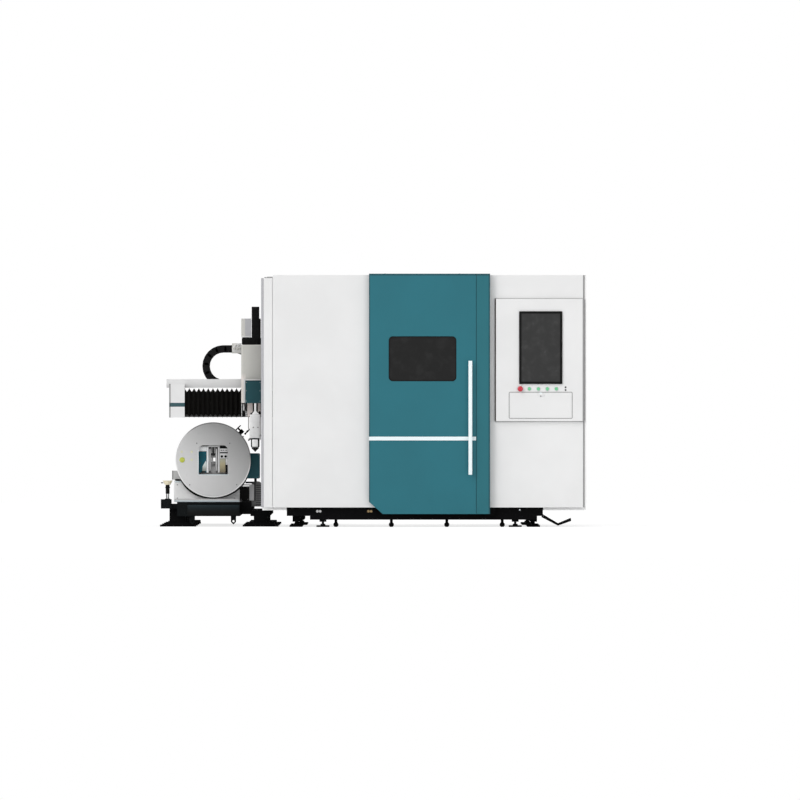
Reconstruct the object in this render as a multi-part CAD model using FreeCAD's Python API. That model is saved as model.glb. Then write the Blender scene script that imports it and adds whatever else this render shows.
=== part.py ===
import FreeCAD, Part
import math
import os

# Fiber laser cutting machine for sheet and tube, all lengths in millimetres.
# Working frame while the pieces are made: X = 0 at the enclosure's left face, positive to the right,
# Y = 0 at the front face of the white skins, positive to the rear, Z = 0 on the floor.
# At the end everything is shifted so that the origin is at the middle of the whole footprint.

V = FreeCAD.Vector

# ---------------------------------------------------------------- enclosure
enclosure_width = 2820.0
enclosure_depth = 4600.0
skin_top = 2192.0            # top edge of the white skins
skin_bottom = 170.0          # lower edge of the white skins
skin_depth = 40.0            # depth of a folded panel
sheet = 3.0                  # wall of the folded panels
corner_width = 90.0          # front strip of the left side skin
corner_setback = 12.0        # how far that strip stands behind the front face
corner_drop = 26.0           # how much lower the left side skin ends
panel_seam = 3.0
side_opening_front = 300.0
side_opening_sill = 600.0
side_opening_top = 1960.0
side_opening_margin = 200.0   # behind the beam at the end of its travel
roof_drop = 14.0             # roof sheet below the skins' top edge
rib_count = 5
rib_foot = 120.0             # width of a roof rib at its foot
rib_crown = 80.0
rib_end_gap = 120.0          # from a rib's end to the roof pan's edge
cabinet_depth = 260.0        # closed cabinet behind the console
cabinet_margin = 70.0        # console door overlaps the cabinet mouth by this much

# ---------------------------------------------------------------- door
door_thickness = 58.0
door_gap = 12.0              # from the white skin to the back of the door
door_rise = 12.0             # top of the door above the skins
door_bottom = 113.0
door_chamfer_width = 120.0
door_chamfer_height = 106.0
door_sheet = 4.0
doorway_overlap = 69.0       # door covers the doorway's left edge by this much
doorway_sill = 250.0
doorway_header = 92.0
post_width = 122.0
console_post_gap = 52.0       # from the door post to the console
window_width = 589.0
window_height = 391.0
window_bottom = 1268.0
window_corner = 25.0
window_lap = 16.0            # pane behind the sheet round the window
pane_thickness = 6.0
trim_height = 33.0
trim_bottom = 753.0
trim_proud = 8.0
handle_width = 33.0
handle_height = 991.0
handle_bottom = 455.0
handle_inset = 33.0
handle_reach = 60.0          # front of the handle ahead of the door's face
handle_thickness = 24.0
handle_foot = 26.0           # height of each stand-off
hanger_width = 70.0
hanger_sheet = 6.0
hanger_wheel = 14.0
track_height = 22.0
track_thickness = 10.0
track_setback = 46.0         # middle of the track behind the front face

# ---------------------------------------------------------------- console
console_width = 770.0
console_height = 1064.0
console_bottom = 921.0
console_margin = 14.0        # from its hinge edge to the enclosure's right face
console_depth = 34.0
monitor_left = 201.0         # from the console's left edge
monitor_width = 376.0
monitor_height = 633.0
monitor_bottom = 323.0       # above the console's lower edge
monitor_bezel = 20.0
monitor_proud = 12.0
monitor_back = 22.0
button_height = 281.0        # row of buttons above the console's lower edge
stop_left = 211.0
stop_radius = 24.0
stop_length = 34.0
stop_stem = 11.0
green_left = 290.0
green_pitch = 78.3
green_radius = 14.0
green_proud = 10.0
button_clearance = 0.4
button_back = 14.0           # how deep the buttons reach behind the sheet
flap_left = 118.0
flap_width = 541.0
flap_bottom = 28.0
flap_height = 220.0
flap_thickness = 6.0
flap_seam = 0.6
pull_width = 52.0            # finger pull on the flap
pull_height = 18.0
pull_drop = 8.0              # below the flap's top edge
pull_proud = 10.0
keyboard_thickness = 20.0
keyboard_margin = 26.0

# ---------------------------------------------------------------- machine bed
bed_left = 215.0
bed_right_margin = 376.0     # from the bed's right face to the enclosure's right face
bed_front = 60.0
bed_bottom = 96.0
bed_beam_width = 160.0
bed_beam_top = 540.0
cross_height = 124.0
cross_width = 120.0
sill_left = 417.0
sill_right_margin = 436.0
sill_drop = 33.0
outrigger_height = 25.0
outrigger_width = 90.0
foot_plate = 113.0
foot_plate_thickness = 15.0
foot_screw_radius = 12.0
foot_nut_width = 60.0
foot_nut_bottom = 45.0
stop_ball_radius = 23.5
stop_ball_stem = 12.5
stop_ball_flat = 3.0
kick_plate_thickness = 15.0
kick_plate_depth = 220.0
kick_plate_fold = 132.0      # lowest fold, from the bed's right face
kick_plate_dip = 78.0        # how far that fold hangs below the bed
kick_plate_reach = 247.0     # outer edge, from the bed's right face
kick_plate_lip = 32.0        # how far the outer edge hangs below the bed

# ---------------------------------------------------------------- gantry
gantry_front = 700.0         # front face of the beam with the gantry at its front end
gantry_travel = 3000.0
beam_depth = 300.0
beam_bottom = 986.0          # beam stays inside the bellows' folds
beam_height = 188.0
beam_wall = 12.0
beam_left = -800.0
cap_left = -812.0
cap_right = -676.0
cap_wall = 4.0
cap_bottom = 952.0
cap_top = 1245.0             # cap's hood in front of the tray
tray_left = -836.0
tray_bottom = 1212.0
riser_width = 100.0          # blocks between beam and tray
riser_count = 4
tray_height = 75.0
tray_lip = 10.0              # tray stands this far ahead of and behind the beam
rail_width = 34.0
rail_height = 40.0
rail_inset = 80.0            # rail middle from the bed beam's outer face
rack_width = 28.0
rack_height = 30.0
rack_gap = 4.0               # from the runner blocks to the rack
runner_width = 96.0
runner_length = 100.0
runner_wall = 32.0           # runner block above the rail
leg_width = 120.0
leg_front = 680.0
leg_back = 1120.0
leg_base = 50.0              # height of a leg's straight foot
guide_size = 28.0
guide_low = 1010.0           # height of the beam's lower guide
guide_high = 1150.0
bellows_front = 104.0        # bellows peaks ahead of the beam
bellows_fold = 29.0          # peak to valley
bellows_low = 955.0
bellows_high = 1204.0
bellows_pitch = 41.0         # pleats of the left bellows
bellows_long_pitch = 82.0    # pleats of the right bellows, seen only from inside
bellows_wall = 8.0
end_plate = 12.0

# ---------------------------------------------------------------- carriage and cutting axis
head_x = -61.0
column_width = 244.0
column_bottom = 1079.0
column_top = 1586.0
column_front = 470.0
column_back = 600.0
column_round = 14.0
beam_right_margin = 260.0    # from the beam's right end to the enclosure's right face
carriage_bottom = 960.0
carriage_top = 1200.0
tongue_left = -130.0         # lower part of the carriage plate, behind the head
tongue_right = -15.0
carriage_thickness = 36.0
carriage_runner_inset = 10.0
z_guide_width = 14.0
z_guide_insets = (10.0, 38.0)  # from the column's left side
z_guide_low = 1004.0
z_guide_depth = 18.0
motor_base_height = 63.0
motor_base_width = 162.0
motor_base_inset = 9.0       # from the column's left side
motor_base_setback = 10.0    # behind the column's front
motor_gap = 4.0              # from the junction box to the motor
motor_round = 8.0
motor_width = 78.0
motor_height = 166.0
encoder_width = 66.0
encoder_height = 103.0
sensor_box_width = 87.0
sensor_box_setback = 20.0    # behind the column's front
slide_left = -146.0
slide_width = 135.0
slide_depth = 75.0
slide_bottom = 1078.0
slide_height = 198.0
head_y = 418.0
head_body_width = 97.0
head_body_top = 979.0
head_body_bottom = 773.0
head_connector_radius = 23.0
head_connector_flare = 9.0   # flared foot of the connector
head_connector_lip = 8.0     # straight height of that foot
head_connector_cone = 18.0
head_body_round = 12.0
head_neck_radius = 38.0
head_neck_bottom = 690.0
nozzle_tip = 655.0
nozzle_tip_radius = 5.0
nozzle_bore = 2.5
fitting_radius = 11.0
fitting_sink = 14.0          # how deep a gas fitting sits in the head
fitting_heights = (50.0, 8.0)  # above the body's lower face
fitting_reaches = (38.0, 26.0)
nozzle_ring_share = 0.8      # of the neck's radius
nozzle_cone = 24.0           # height of the cone above the tip
nozzle_face = 16.0

# ---------------------------------------------------------------- cable chain
chain_radius = 150.0         # middle of the chain round its bend
chain_height = 65.0
chain_width = 100.0
chain_bend_x = -341.0
chain_links_bend = 8
chain_fixed_x = 580.0
chain_plate = 9.0
chain_bar = 6.0
chain_lift = 3.0
chain_front = 760.0
chain_bracket_left = -265.0
chain_bracket_top = 1599.0

# ---------------------------------------------------------------- tube station
tube_axis_x = -430.0
tube_axis_z = 582.0
tube_bed_left = -745.0
tube_bed_right = -198.0
tube_bed_bottom = 91.0
tube_bed_top = 214.0
tube_bed_front = 880.0
tube_bed_length = 7300.0
tube_bed_panel = 18.0        # depth of the framed recess in the bed's front
panel_left = 88.0            # the recess from the bed's left side
panel_right = 4.0
panel_low = 20.0
panel_high = 14.0            # below the bed's top
disc_radius = 328.0
disc_front = 1000.0
disc_thickness = 150.0
disc_bevel = 14.0
disc_rim = 32.0              # closed rim outside the jaw slots
disc_window = 127.0          # half the square opening
disc_window_round = 40.0
shaft_radius = 180.0
housing_radius = 290.0
housing_length = 248.0
shaft_end = 20.0             # shaft passes the housing's back by this much
rotor_gap = 2.0              # from a disc's back to its housing
clamp_reach = 16.0           # clamp block left of the housing's base
clamp_inner = 60.0           # and right of that edge
clamp_depth = 90.0
clamp_height = 79.0
housing_base_left = -774.0
housing_base_right = -200.0
housing_base_top = 409.0
jaw_front_plane = 40.0       # jaws behind the disc's face
jaw_back_plane = 96.0
jaw_depth = 40.0
jaw_half_height = 112.0
jaw_outer = 130.0
jaw_roller_gap = 18.0        # from the roller to the jaw's body
jaw_arm = 12.0               # height of the arms that hold the roller
jaw_arm_inner = 8.0          # arms past the roller's middle
roller_radius = 10.0
roller_offset = 29.0
rear_disc_radius = 270.0
rear_disc_front = 4300.0
rear_shaft_radius = 150.0
rear_housing_radius = 235.0
rear_housing_length = 300.0
tube_rail_width = 30.0
tube_rail_height = 28.0
tube_rail_inset = 105.0      # rail middle from the bed's side
tube_rail_front = 1500.0
rear_base_height = 44.0
rear_base_inset = 20.0       # from the tube bed's sides
gear_left = -150.0
gear_right = -23.0
gear_bottom = 419.0
gear_top = 640.0
gear_setback = 12.0          # behind the disc's back
gear_depth = 200.0
gear_round = 12.0
drive_left = -96.0
drive_right = -9.0
drive_bottom = 174.0
drive_top = 394.0
drive_depth = 160.0
drive_round = 30.0
drive_neck_width = 22.0
drive_box_right = -116.0
drive_box_bottom = 226.0
drive_box_top = 351.0
drive_box_setback = 30.0     # behind the disc's back
drive_box_depth = 140.0
valve_radius = 348.0         # valve block from the tube axis
valve_angle = 45.0
valve_width = 34.0
valve_out = 18.0             # valve body beyond that place
valve_stem = 16.0
valve_stem_height = 28.0
valve_lever_thickness = 10.0
valve_lever = (28.0, 34.0)   # reach of the lever inwards and outwards

# ---------------------------------------------------------------- pedestals and side support
pedestal_rows = 4
pedestal_depth = 150.0
pedestal_left = -812.0
pedestal_left_width = 141.0
pedestal_ear_top = 157.0
pedestal_plate_top = 34.0
pedestal_plate_mid = 17.0
pedestal_plate_inset = 40.0  # upper plate inside the lower one
pedestal_plate_overhang = 30.0  # of the plates, ahead of and behind the column
plate_left = -895.0
plate_left_width = 316.0
outrigger_arm_right = -100.0
outrigger_arm_bottom = 108.0
flange_right = 68.0
flange_top = 135.0
pedestal_right = -76.0
pedestal_right_width = 119.0
plate_right = -173.0
plate_right_width = 313.0
lug_width = 46.0
lug_bottom = 18.0
lug_thickness = 20.0
lug_setback = 40.0
lug_eye_radius = 9.5
lug_inset_left = 110.0       # from the tube bed's left side to the left lug
lug_inset_right = 78.0       # from the tube bed's right side to the right lug's left edge
support_box_left = -887.0
support_box_right = -793.0
support_box_bottom = 157.0
support_box_top = 239.0
support_y = 1000.0
support_box_depth = 110.0
support_rod_radius = 13.0
support_stem_radius = 17.5
support_stem_bottom = 287.0
support_stem_top = 365.0
support_cup_radius = 45.0
support_cup_top = 402.0
support_cup_wall = 8.0
support_cup_floor = 14.0
support_cup_foot = 24.5      # radius of the cup's foot
support_x = -828.0

# ---------------------------------------------------------------- pallets and exchange frame
pallet_side_gap = 154.5      # from the pallet to the bed's side beams
pallet_length = 3100.0
pallet_front = 350.0
pallet_travel = 4350.0
pallet_rail = 60.0
pallet_rail_height = 70.0
pallet_upper_track = 480.0   # top of the upper track
pallet_lower_track = 310.0
pallet_lift = 10.0           # pallet frame above its track
slat_count = 16
slat_thickness = 6.0
slat_top = 110.0             # slats' top above the track
slat_height = 70.0
wheel_radius = 22.0
wheel_width = 26.0
wheel_rows = 2
track_flange = 150.0
track_sheet = 8.0
exchange_gap = 60.0          # from the enclosure's back to the exchange frame
exchange_length = 3300.0
exchange_beam_width = 100.0
exchange_beam_bottom = 200.0
exchange_beam_top = 560.0
exchange_rows = 3
mouth_top = 660.0

running_gap = 0.3            # between faces that slide on each other
small_sides = 16             # flats of small turned pieces


# ---------------------------------------------------------------- helpers

def block(x, y, z):
    """Box from three (low, high) pairs."""
    size = (x[1] - x[0], y[1] - y[0], z[1] - z[0])
    return Part.makeBox(size[0], size[1], size[2], V(x[0], y[0], z[0]))


def about(middle, width):
    """The (low, high) pair of a width centred on a middle."""
    return (middle - width / 2, middle + width / 2)


def from_low(low, width):
    """The (low, high) pair of a width that starts at its low end."""
    return (low, low + width)


def rod(radius, start, end):
    """Cylinder between two points."""
    axis = V(*end) - V(*start)
    return Part.makeCylinder(radius, axis.Length, V(*start), axis)


def prism(points, axis, low, high):
    """Polygon in the plane across an axis, stretched along that axis from low to high."""
    place = {
        "x": lambda a, b: V(low, a, b),
        "y": lambda a, b: V(a, low, b),
        "z": lambda a, b: V(a, b, low),
    }[axis]
    corners = [place(a, b) for a, b in points]
    face = Part.Face(Part.makePolygon(corners + corners[:1]))
    along = {"x": V(1, 0, 0), "y": V(0, 1, 0), "z": V(0, 0, 1)}[axis]
    return face.extrude(along * (high - low))


def folded(x, y, z, wall, open_to):
    """Folded sheet box that is open on one side, such as '+y'."""
    hollow = [[x[0] + wall, x[1] - wall], [y[0] + wall, y[1] - wall], [z[0] + wall, z[1] - wall]]
    axis = "xyz".index(open_to[1])
    end = 1 if open_to[0] == "+" else 0
    hollow[axis][end] += 2 * wall if end else -2 * wall
    return block(x, y, z).cut(block(*hollow))


def round_along(shape, axis, radius, keep=lambda middle: True):
    """Fillet of the straight edges that run along an axis and whose middle passes the test."""
    direction = {"x": V(1, 0, 0), "y": V(0, 1, 0), "z": V(0, 0, 1)}[axis]
    picked = []
    for edge in shape.Edges:
        if not isinstance(edge.Curve, Part.Line):
            continue
        ends = [vertex.Point for vertex in edge.Vertexes]
        run = ends[1] - ends[0]
        if abs(run.dot(direction)) > 0.999 * run.Length and keep((ends[0] + ends[1]) * 0.5):
            picked.append(edge)
    return shape.makeFillet(radius, picked)


def ring_corner(radius, height, turn):
    """Point at a radius and height, a share of a turn round the vertical axis."""
    angle = 2 * math.pi * turn
    return V(radius * math.cos(angle), radius * math.sin(angle), height)


def turned(profile, x, y, sides=small_sides):
    """Small turned solid about a vertical axis, in flat facets, from a closed (radius, height) outline."""
    faces = []
    for (r0, z0), (r1, z1) in zip(profile, profile[1:] + profile[:1]):
        if r0 < 1e-6 and r1 < 1e-6:
            continue
        for side in range(sides):
            now, after = side / sides, (side + 1) / sides
            loop = [ring_corner(r0, z0, now), ring_corner(r0, z0, after),
                    ring_corner(r1, z1, after), ring_corner(r1, z1, now)]
            if r0 < 1e-6:
                loop = loop[1:]
            if r1 < 1e-6:
                loop = loop[:3]
            faces.append(Part.Face(Part.makePolygon(loop + loop[:1])))
    solid = Part.makeSolid(Part.makeShell(faces)).removeSplitter()
    if solid.Volume < 0:
        solid.reverse()
    solid.translate(V(x, y, 0))
    return solid


def fused(shapes):
    """One solid from shapes that touch or overlap."""
    first, rest = shapes[0], shapes[1:]
    return first.multiFuse(rest).removeSplitter() if rest else first


def group(shapes):
    """Separate solids that share one node."""
    return Part.makeCompound(shapes)


def spread(first, last, count):
    """Evenly spaced places from first to last."""
    return [first + (last - first) * step / (count - 1) for step in range(count)]


# ---------------------------------------------------------------- places that follow from the sizes

console_x = (enclosure_width - console_margin - console_width, enclosure_width - console_margin)
post_right = console_x[0] - console_post_gap
door_right = post_right - post_width
door_left = door_right / 2
door_width = door_right - door_left
door_back_y = -door_gap
door_face_y = door_back_y - door_thickness
door_top = skin_top + door_rise
console_face_y = -running_gap - console_depth
bed_right = enclosure_width - bed_right_margin
bed_back = enclosure_depth - bed_front
rail_xs = [bed_left + rail_inset, bed_right - rail_inset]
rail_top = bed_beam_top + rail_height
beam_top = beam_bottom + beam_height
beam_back = gantry_front + beam_depth
column_x = about(head_x, column_width)
beam_right = enclosure_width - beam_right_margin
side_opening_back = beam_back + gantry_travel + side_opening_margin
chain_low_z = tray_bottom + sheet + chain_lift + chain_height / 2
chain_high_z = chain_low_z + 2 * chain_radius
disc_back = disc_front + disc_thickness
tube_bed_back = tube_bed_front + tube_bed_length
tube_rail_xs = [tube_bed_left + tube_rail_inset, tube_bed_right - tube_rail_inset]
tube_rail_top = tube_bed_top + tube_rail_height
lug_lefts = (tube_bed_left + lug_inset_left, tube_bed_right - lug_inset_right)
lug_eye_z = lug_bottom + lug_width / 2 + 6
inner_left = bed_left + bed_beam_width
inner_right = bed_right - bed_beam_width
pallet_x = (inner_left + pallet_side_gap, inner_right - pallet_side_gap)
exchange_front = enclosure_depth + exchange_gap
exchange_back = exchange_front + exchange_length
foot_rows = spread(bed_front + cross_width + foot_nut_width, bed_back - cross_width, 4)


# ---------------------------------------------------------------- machine bed

def pallet_tracks(front, back):
    """Two levels of angle track along both sides, the wheels run on the flat flanges."""
    tracks = []
    for top in (pallet_upper_track, pallet_lower_track):
        for wall_x, side in ((inner_left, 1), (inner_right, -1)):
            flange = sorted((wall_x, wall_x + side * track_flange))
            web = sorted((wall_x, wall_x + side * track_sheet))
            tracks.append(block(flange, (front, back), (top - track_sheet, top)))
            tracks.append(block(web, (front, back), (top - 6 * track_sheet, top)))
    return tracks


def make_bed_frame():
    """Welded bed: two deep side beams, cross members, front sill, skin brackets, kick plate."""
    length = (bed_front, bed_back)
    pieces = [
        block(from_low(bed_left, bed_beam_width), length, (bed_bottom, bed_beam_top)),
        block((inner_right, bed_right), length, (bed_bottom, bed_beam_top)),
        block((sill_left, enclosure_width - sill_right_margin), from_low(bed_front, cross_width),
              (bed_bottom - sill_drop, bed_bottom)),
    ]
    for y in spread(bed_front, bed_back - cross_width, 4):
        pieces.append(block((inner_left, inner_right), from_low(y, cross_width),
                            from_low(bed_bottom, cross_height)))
    bracket_z = (skin_bottom - outrigger_height, skin_bottom)
    for y in spread(bed_front, bed_back - outrigger_width, 4):
        pieces.append(block((bed_right, enclosure_width - sheet), from_low(y, outrigger_width),
                            bracket_z))
    for y in [bed_front + outrigger_width / 2, bed_back - outrigger_width / 2] + tied_pedestal_ys():
        pieces.append(block((sheet, bed_left), about(y, outrigger_width), bracket_z))
    for x in (door_left + door_width / 2, post_right):
        pieces.append(block(about(x, outrigger_width), (sheet, bed_front),
                            (bed_bottom, skin_bottom)))
    for x in (door_left + door_width / 2, inner_right - outrigger_width):
        pieces.append(block(about(x, outrigger_width), (bed_back, enclosure_depth - sheet),
                            (bed_bottom, skin_bottom)))
    pieces += pallet_tracks(bed_front + cross_width, exchange_front)
    kick = kick_plate_thickness
    fold_x = bed_right + kick_plate_fold
    edge_x = bed_right + kick_plate_reach
    outline = [
        (bed_right - kick, bed_bottom + kick), (fold_x, bed_bottom - kick_plate_dip),
        (edge_x, bed_bottom - kick_plate_lip), (edge_x - kick / 3, bed_bottom - kick_plate_lip + kick),
        (fold_x, bed_bottom - kick_plate_dip + kick), (bed_right, bed_bottom + kick),
    ]
    pieces.append(prism(outline, "y", bed_front, bed_front + kick_plate_depth))
    return fused(pieces)


def levelling_foot(x, y, top):
    """Square plate, spanner flats of the screw and nut block, under a frame's lower face."""
    plate = block(about(x, foot_plate), about(y, foot_plate), (0, foot_plate_thickness))
    corners = [math.radians(30 + 60 * step) for step in range(6)]
    flats = [(x + foot_screw_radius * math.cos(a), y + foot_screw_radius * math.sin(a)) for a in corners]
    screw = prism(flats, "z", foot_plate_thickness, foot_nut_bottom)
    nut = block(about(x, foot_nut_width), about(y, foot_nut_width), (foot_nut_bottom, top))
    return fused([plate, screw, nut])


def ball_stop(x, y, top):
    """Ball-ended stop under the front sill, ground flat where it meets the floor."""
    centre = stop_ball_radius - stop_ball_flat
    angles = [math.acos(-centre / stop_ball_radius), 1.9, 1.2, math.asin(stop_ball_stem / stop_ball_radius)]
    bulge = [(stop_ball_radius * math.sin(a), max(0.0, centre + stop_ball_radius * math.cos(a)))
             for a in angles]
    return turned([(0, 0)] + bulge + [(stop_ball_stem, top), (0, top)], x, y, small_sides // 2)


def make_levelling_feet():
    """All feet of the bed and the exchange frame, with the four ball-ended stops."""
    feet = []
    for y in foot_rows:
        feet.append(levelling_foot(rail_xs[0], y, bed_bottom))
        feet.append(levelling_foot(rail_xs[1], y, bed_bottom))
    sill_bottom = bed_bottom - sill_drop
    sill_y = bed_front + cross_width / 2
    sill_right = enclosure_width - sill_right_margin
    inner_x = (sill_left + foot_plate, sill_right - 1.6 * foot_plate)
    for x in inner_x:
        feet.append(levelling_foot(x, sill_y, sill_bottom))
    for x in spread(inner_x[0] + foot_plate, inner_x[1] - foot_plate, 4):
        feet.append(ball_stop(x, sill_y, sill_bottom))
    for y in exchange_leg_ys():
        for x in exchange_beam_xs():
            feet.append(levelling_foot(x, y, bed_bottom))
    return group(feet)


def rail_profile(x, bottom, width, height):
    """Cross-section of a linear rail, waisted under its head."""
    half = width / 2
    waist = half * 0.78
    return [(x - half, bottom), (x + half, bottom), (x + half, bottom + height * 0.3),
            (x + waist, bottom + height * 0.45), (x + waist, bottom + height * 0.65),
            (x + half, bottom + height * 0.8), (x + half, bottom + height),
            (x - half, bottom + height), (x - half, bottom + height * 0.8),
            (x - waist, bottom + height * 0.65), (x - waist, bottom + height * 0.45),
            (x - half, bottom + height * 0.3)]


def make_linear_rails():
    """Gantry rails with their racks on the bed, and the rear chuck's rails on the tube bed."""
    rails = []
    front = bed_front + 0.5 * cross_width
    back = min(leg_back + gantry_travel + runner_length, bed_back)
    for x, side in zip(rail_xs, (-1, 1)):
        profile = rail_profile(x, bed_beam_top, rail_width, rail_height)
        rails.append(prism(profile, "y", front, back))
        near = runner_width / 2 + rack_gap
        rack_x = sorted((x - side * near, x - side * (near + rack_width)))
        rails.append(block(rack_x, (front, back), from_low(bed_beam_top, rack_height)))
    for x in tube_rail_xs:
        profile = rail_profile(x, tube_bed_top, tube_rail_width, tube_rail_height)
        rails.append(prism(profile, "y", tube_rail_front, tube_bed_back - pedestal_depth))
    return group(rails)


# ---------------------------------------------------------------- enclosure skins

def make_front_skin_left():
    """Front skin with the doorway; a folded panel with its edges turned back."""
    left = corner_width + panel_seam
    panel = folded((left, post_right), (0, skin_depth), (skin_bottom, skin_top), sheet, "+y")
    doorway = ((door_left + doorway_overlap, door_right - door_gap),
               (doorway_sill, skin_top - doorway_header))
    frame = block((doorway[0][0] - sheet, doorway[0][1] + sheet), (0, skin_depth),
                  (doorway[1][0] - sheet, doorway[1][1] + sheet))
    hole = block(doorway[0], (-sheet, skin_depth + sheet), doorway[1])
    return fused([panel, frame]).cut(hole)


def make_front_skin_right():
    """Front skin right of the door, with the closed cabinet behind the console."""
    panel = folded((post_right, enclosure_width), (0, skin_depth), (skin_bottom, skin_top),
                   sheet, "+y")
    mouth_x = (console_x[0] + cabinet_margin, console_x[1] - cabinet_margin)
    mouth_z = (console_bottom + cabinet_margin, console_bottom + console_height - cabinet_margin)
    cabinet_x = (mouth_x[0] - sheet, mouth_x[1] + sheet)
    cabinet_z = (mouth_z[0] - sheet, mouth_z[1] + sheet)
    cabinet = block(cabinet_x, (0, cabinet_depth), cabinet_z)
    hollow = block(mouth_x, (-sheet, cabinet_depth - sheet), mouth_z)
    return fused([panel, cabinet]).cut(hollow)


def make_side_skin_left():
    """Left side skin, open where the gantry reaches out, with the front corner strip."""
    top = skin_top - corner_drop
    side = folded((0, skin_depth), (corner_setback, enclosure_depth - skin_depth),
                  (skin_bottom, top), sheet, "+x")
    opening_y = (side_opening_front, side_opening_back)
    opening_z = (side_opening_sill, side_opening_top)
    frame = block((0, skin_depth), (opening_y[0] - sheet, opening_y[1] + sheet),
                  (opening_z[0] - sheet, opening_z[1] + sheet))
    hole = block((-sheet, skin_depth + sheet), opening_y, opening_z)
    strip = folded((0, corner_width), (corner_setback, corner_setback + skin_depth),
                   (skin_bottom, top), sheet, "+y")
    strip = strip.cut(block((sheet, skin_depth), (corner_setback + sheet, corner_setback + skin_depth),
                            (skin_bottom + sheet, top - sheet)))
    return fused([side, frame, strip]).cut(hole)


def make_side_skin_right():
    """Right side skin in four cassettes divided by shallow grooves."""
    back = enclosure_depth - skin_depth
    right = enclosure_width
    side = folded((right - skin_depth, right), (skin_depth, back), (skin_bottom, skin_top),
                  sheet, "-x")
    cuts = []
    for y in spread(skin_depth, back, 5)[1:-1]:
        cuts.append(block((right - sheet / 2, right + sheet), about(y, 2 * panel_seam),
                          (skin_bottom - sheet, skin_top + sheet)))
    return side.cut(group(cuts))


def make_rear_skin():
    """Rear skin with the mouth that the pallets pass through."""
    y = (enclosure_depth - skin_depth, enclosure_depth)
    panel = folded((0, enclosure_width), y, (skin_bottom, skin_top), sheet, "-y")
    mouth_x = (inner_left, inner_right)
    mouth_z = (pallet_lower_track - 7 * track_sheet, mouth_top)
    frame = block((mouth_x[0] - sheet, mouth_x[1] + sheet), y,
                  (mouth_z[0] - sheet, mouth_z[1] + sheet))
    hole = block(mouth_x, (y[0] - sheet, y[1] + sheet), mouth_z)
    return fused([panel, frame]).cut(hole)


def make_roof_skin():
    """Roof pan between the skins, with raised stiffening folds across it."""
    x = (skin_depth, enclosure_width - skin_depth)
    y = (skin_depth, enclosure_depth - skin_depth)
    top = skin_top - roof_drop - track_height
    pan = folded(x, y, (top - skin_depth, top), sheet, "-z")
    pan = pan.cut(block((0, corner_width), (0, corner_setback + skin_depth), (skin_bottom, skin_top)))
    ribs = []
    for rib_y in spread(y[0], y[1], rib_count + 2)[1:-1]:
        foot = about(rib_y, rib_foot)
        crown = about(rib_y, rib_crown)
        rib = prism([(foot[0], top - sheet), (crown[0], top + roof_drop),
                     (crown[1], top + roof_drop), (foot[1], top - sheet)],
                    "x", x[0] + rib_end_gap, x[1] - rib_end_gap)
        ribs.append(rib)
    return fused([pan] + ribs)


def make_door_post():
    """Fixed teal post that the door closes against."""
    x = (door_right, post_right)
    post = folded(x, (door_face_y, 0), (door_bottom, door_top), door_sheet, "+y")
    return post


def make_door_track():
    """Flat bar on the roof pan's front edge that the door's rollers run on."""
    bottom = skin_top - roof_drop - track_height
    return block((skin_depth + sheet, door_right), about(skin_depth + track_setback, track_thickness),
                 from_low(bottom, track_height))


# ---------------------------------------------------------------- door

def door_outline(inset):
    """Door outline with its lower left corner cut off, drawn in by an inset."""
    left, right = door_left + inset, door_right - inset
    low, high = door_bottom + inset, door_top - inset
    slope = door_chamfer_height / door_chamfer_width
    turn = inset * (math.sqrt(1 + slope * slope) - 1) / slope
    rise = door_chamfer_height - inset + turn * slope
    return [(left, high), (left, low + rise), (left + rise / slope, low), (right, low), (right, high)]


def window_opening(margin, y):
    """Block with rounded corners, larger than the window by a margin all round."""
    middle = (door_left + door_right) / 2
    hole = block(about(middle, window_width + 2 * margin), y,
                 (window_bottom - margin, window_bottom + window_height + margin))
    return round_along(hole, "y", window_corner)


def hanger(x):
    """Arm over the skin's top edge with a roller on the track, fixed to the door's back."""
    wheel_y = skin_depth + track_setback
    wheel_z = skin_top - roof_drop + running_gap + hanger_wheel
    span = about(x, hanger_width)
    arm = block(span, (door_back_y - door_sheet, wheel_y + 1.5 * hanger_wheel),
                (door_top - door_sheet - hanger_sheet, door_top - door_sheet))
    ear = block(span, (wheel_y + track_thickness, wheel_y + track_thickness + hanger_sheet),
                (wheel_z - hanger_wheel / 2, door_top - door_sheet))
    wheel = rod(hanger_wheel, (x, wheel_y - track_thickness / 2, wheel_z),
                (x, wheel_y + track_thickness, wheel_z))
    return [arm, ear, wheel]


def make_door_panel():
    """Sliding door: folded shell with a window hole, and two roller hangers at its top."""
    shell = prism(door_outline(0), "y", door_face_y, door_back_y)
    hollow = prism(door_outline(door_sheet), "y", door_face_y + door_sheet, door_back_y + door_sheet)
    shell = shell.cut(hollow)
    shell = shell.cut(window_opening(0, (door_face_y - door_sheet, door_back_y)))
    pieces = [shell]
    for x in (door_left + 2 * hanger_width, door_right - 2 * hanger_width):
        pieces += hanger(x)
        pieces.append(block(about(x, hanger_width), (door_face_y, door_back_y - door_sheet + 1),
                            (door_top - door_sheet - hanger_sheet, door_top)))
    return fused(pieces)


def make_door_window():
    """Dark pane seated on the back of the door's front sheet."""
    front = door_face_y + door_sheet
    return window_opening(window_lap, (front, front + pane_thickness))


def make_door_trim():
    """Raised white bar across the door."""
    return block((door_left, door_right), (door_face_y - trim_proud, door_face_y),
                 from_low(trim_bottom, trim_height))


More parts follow.
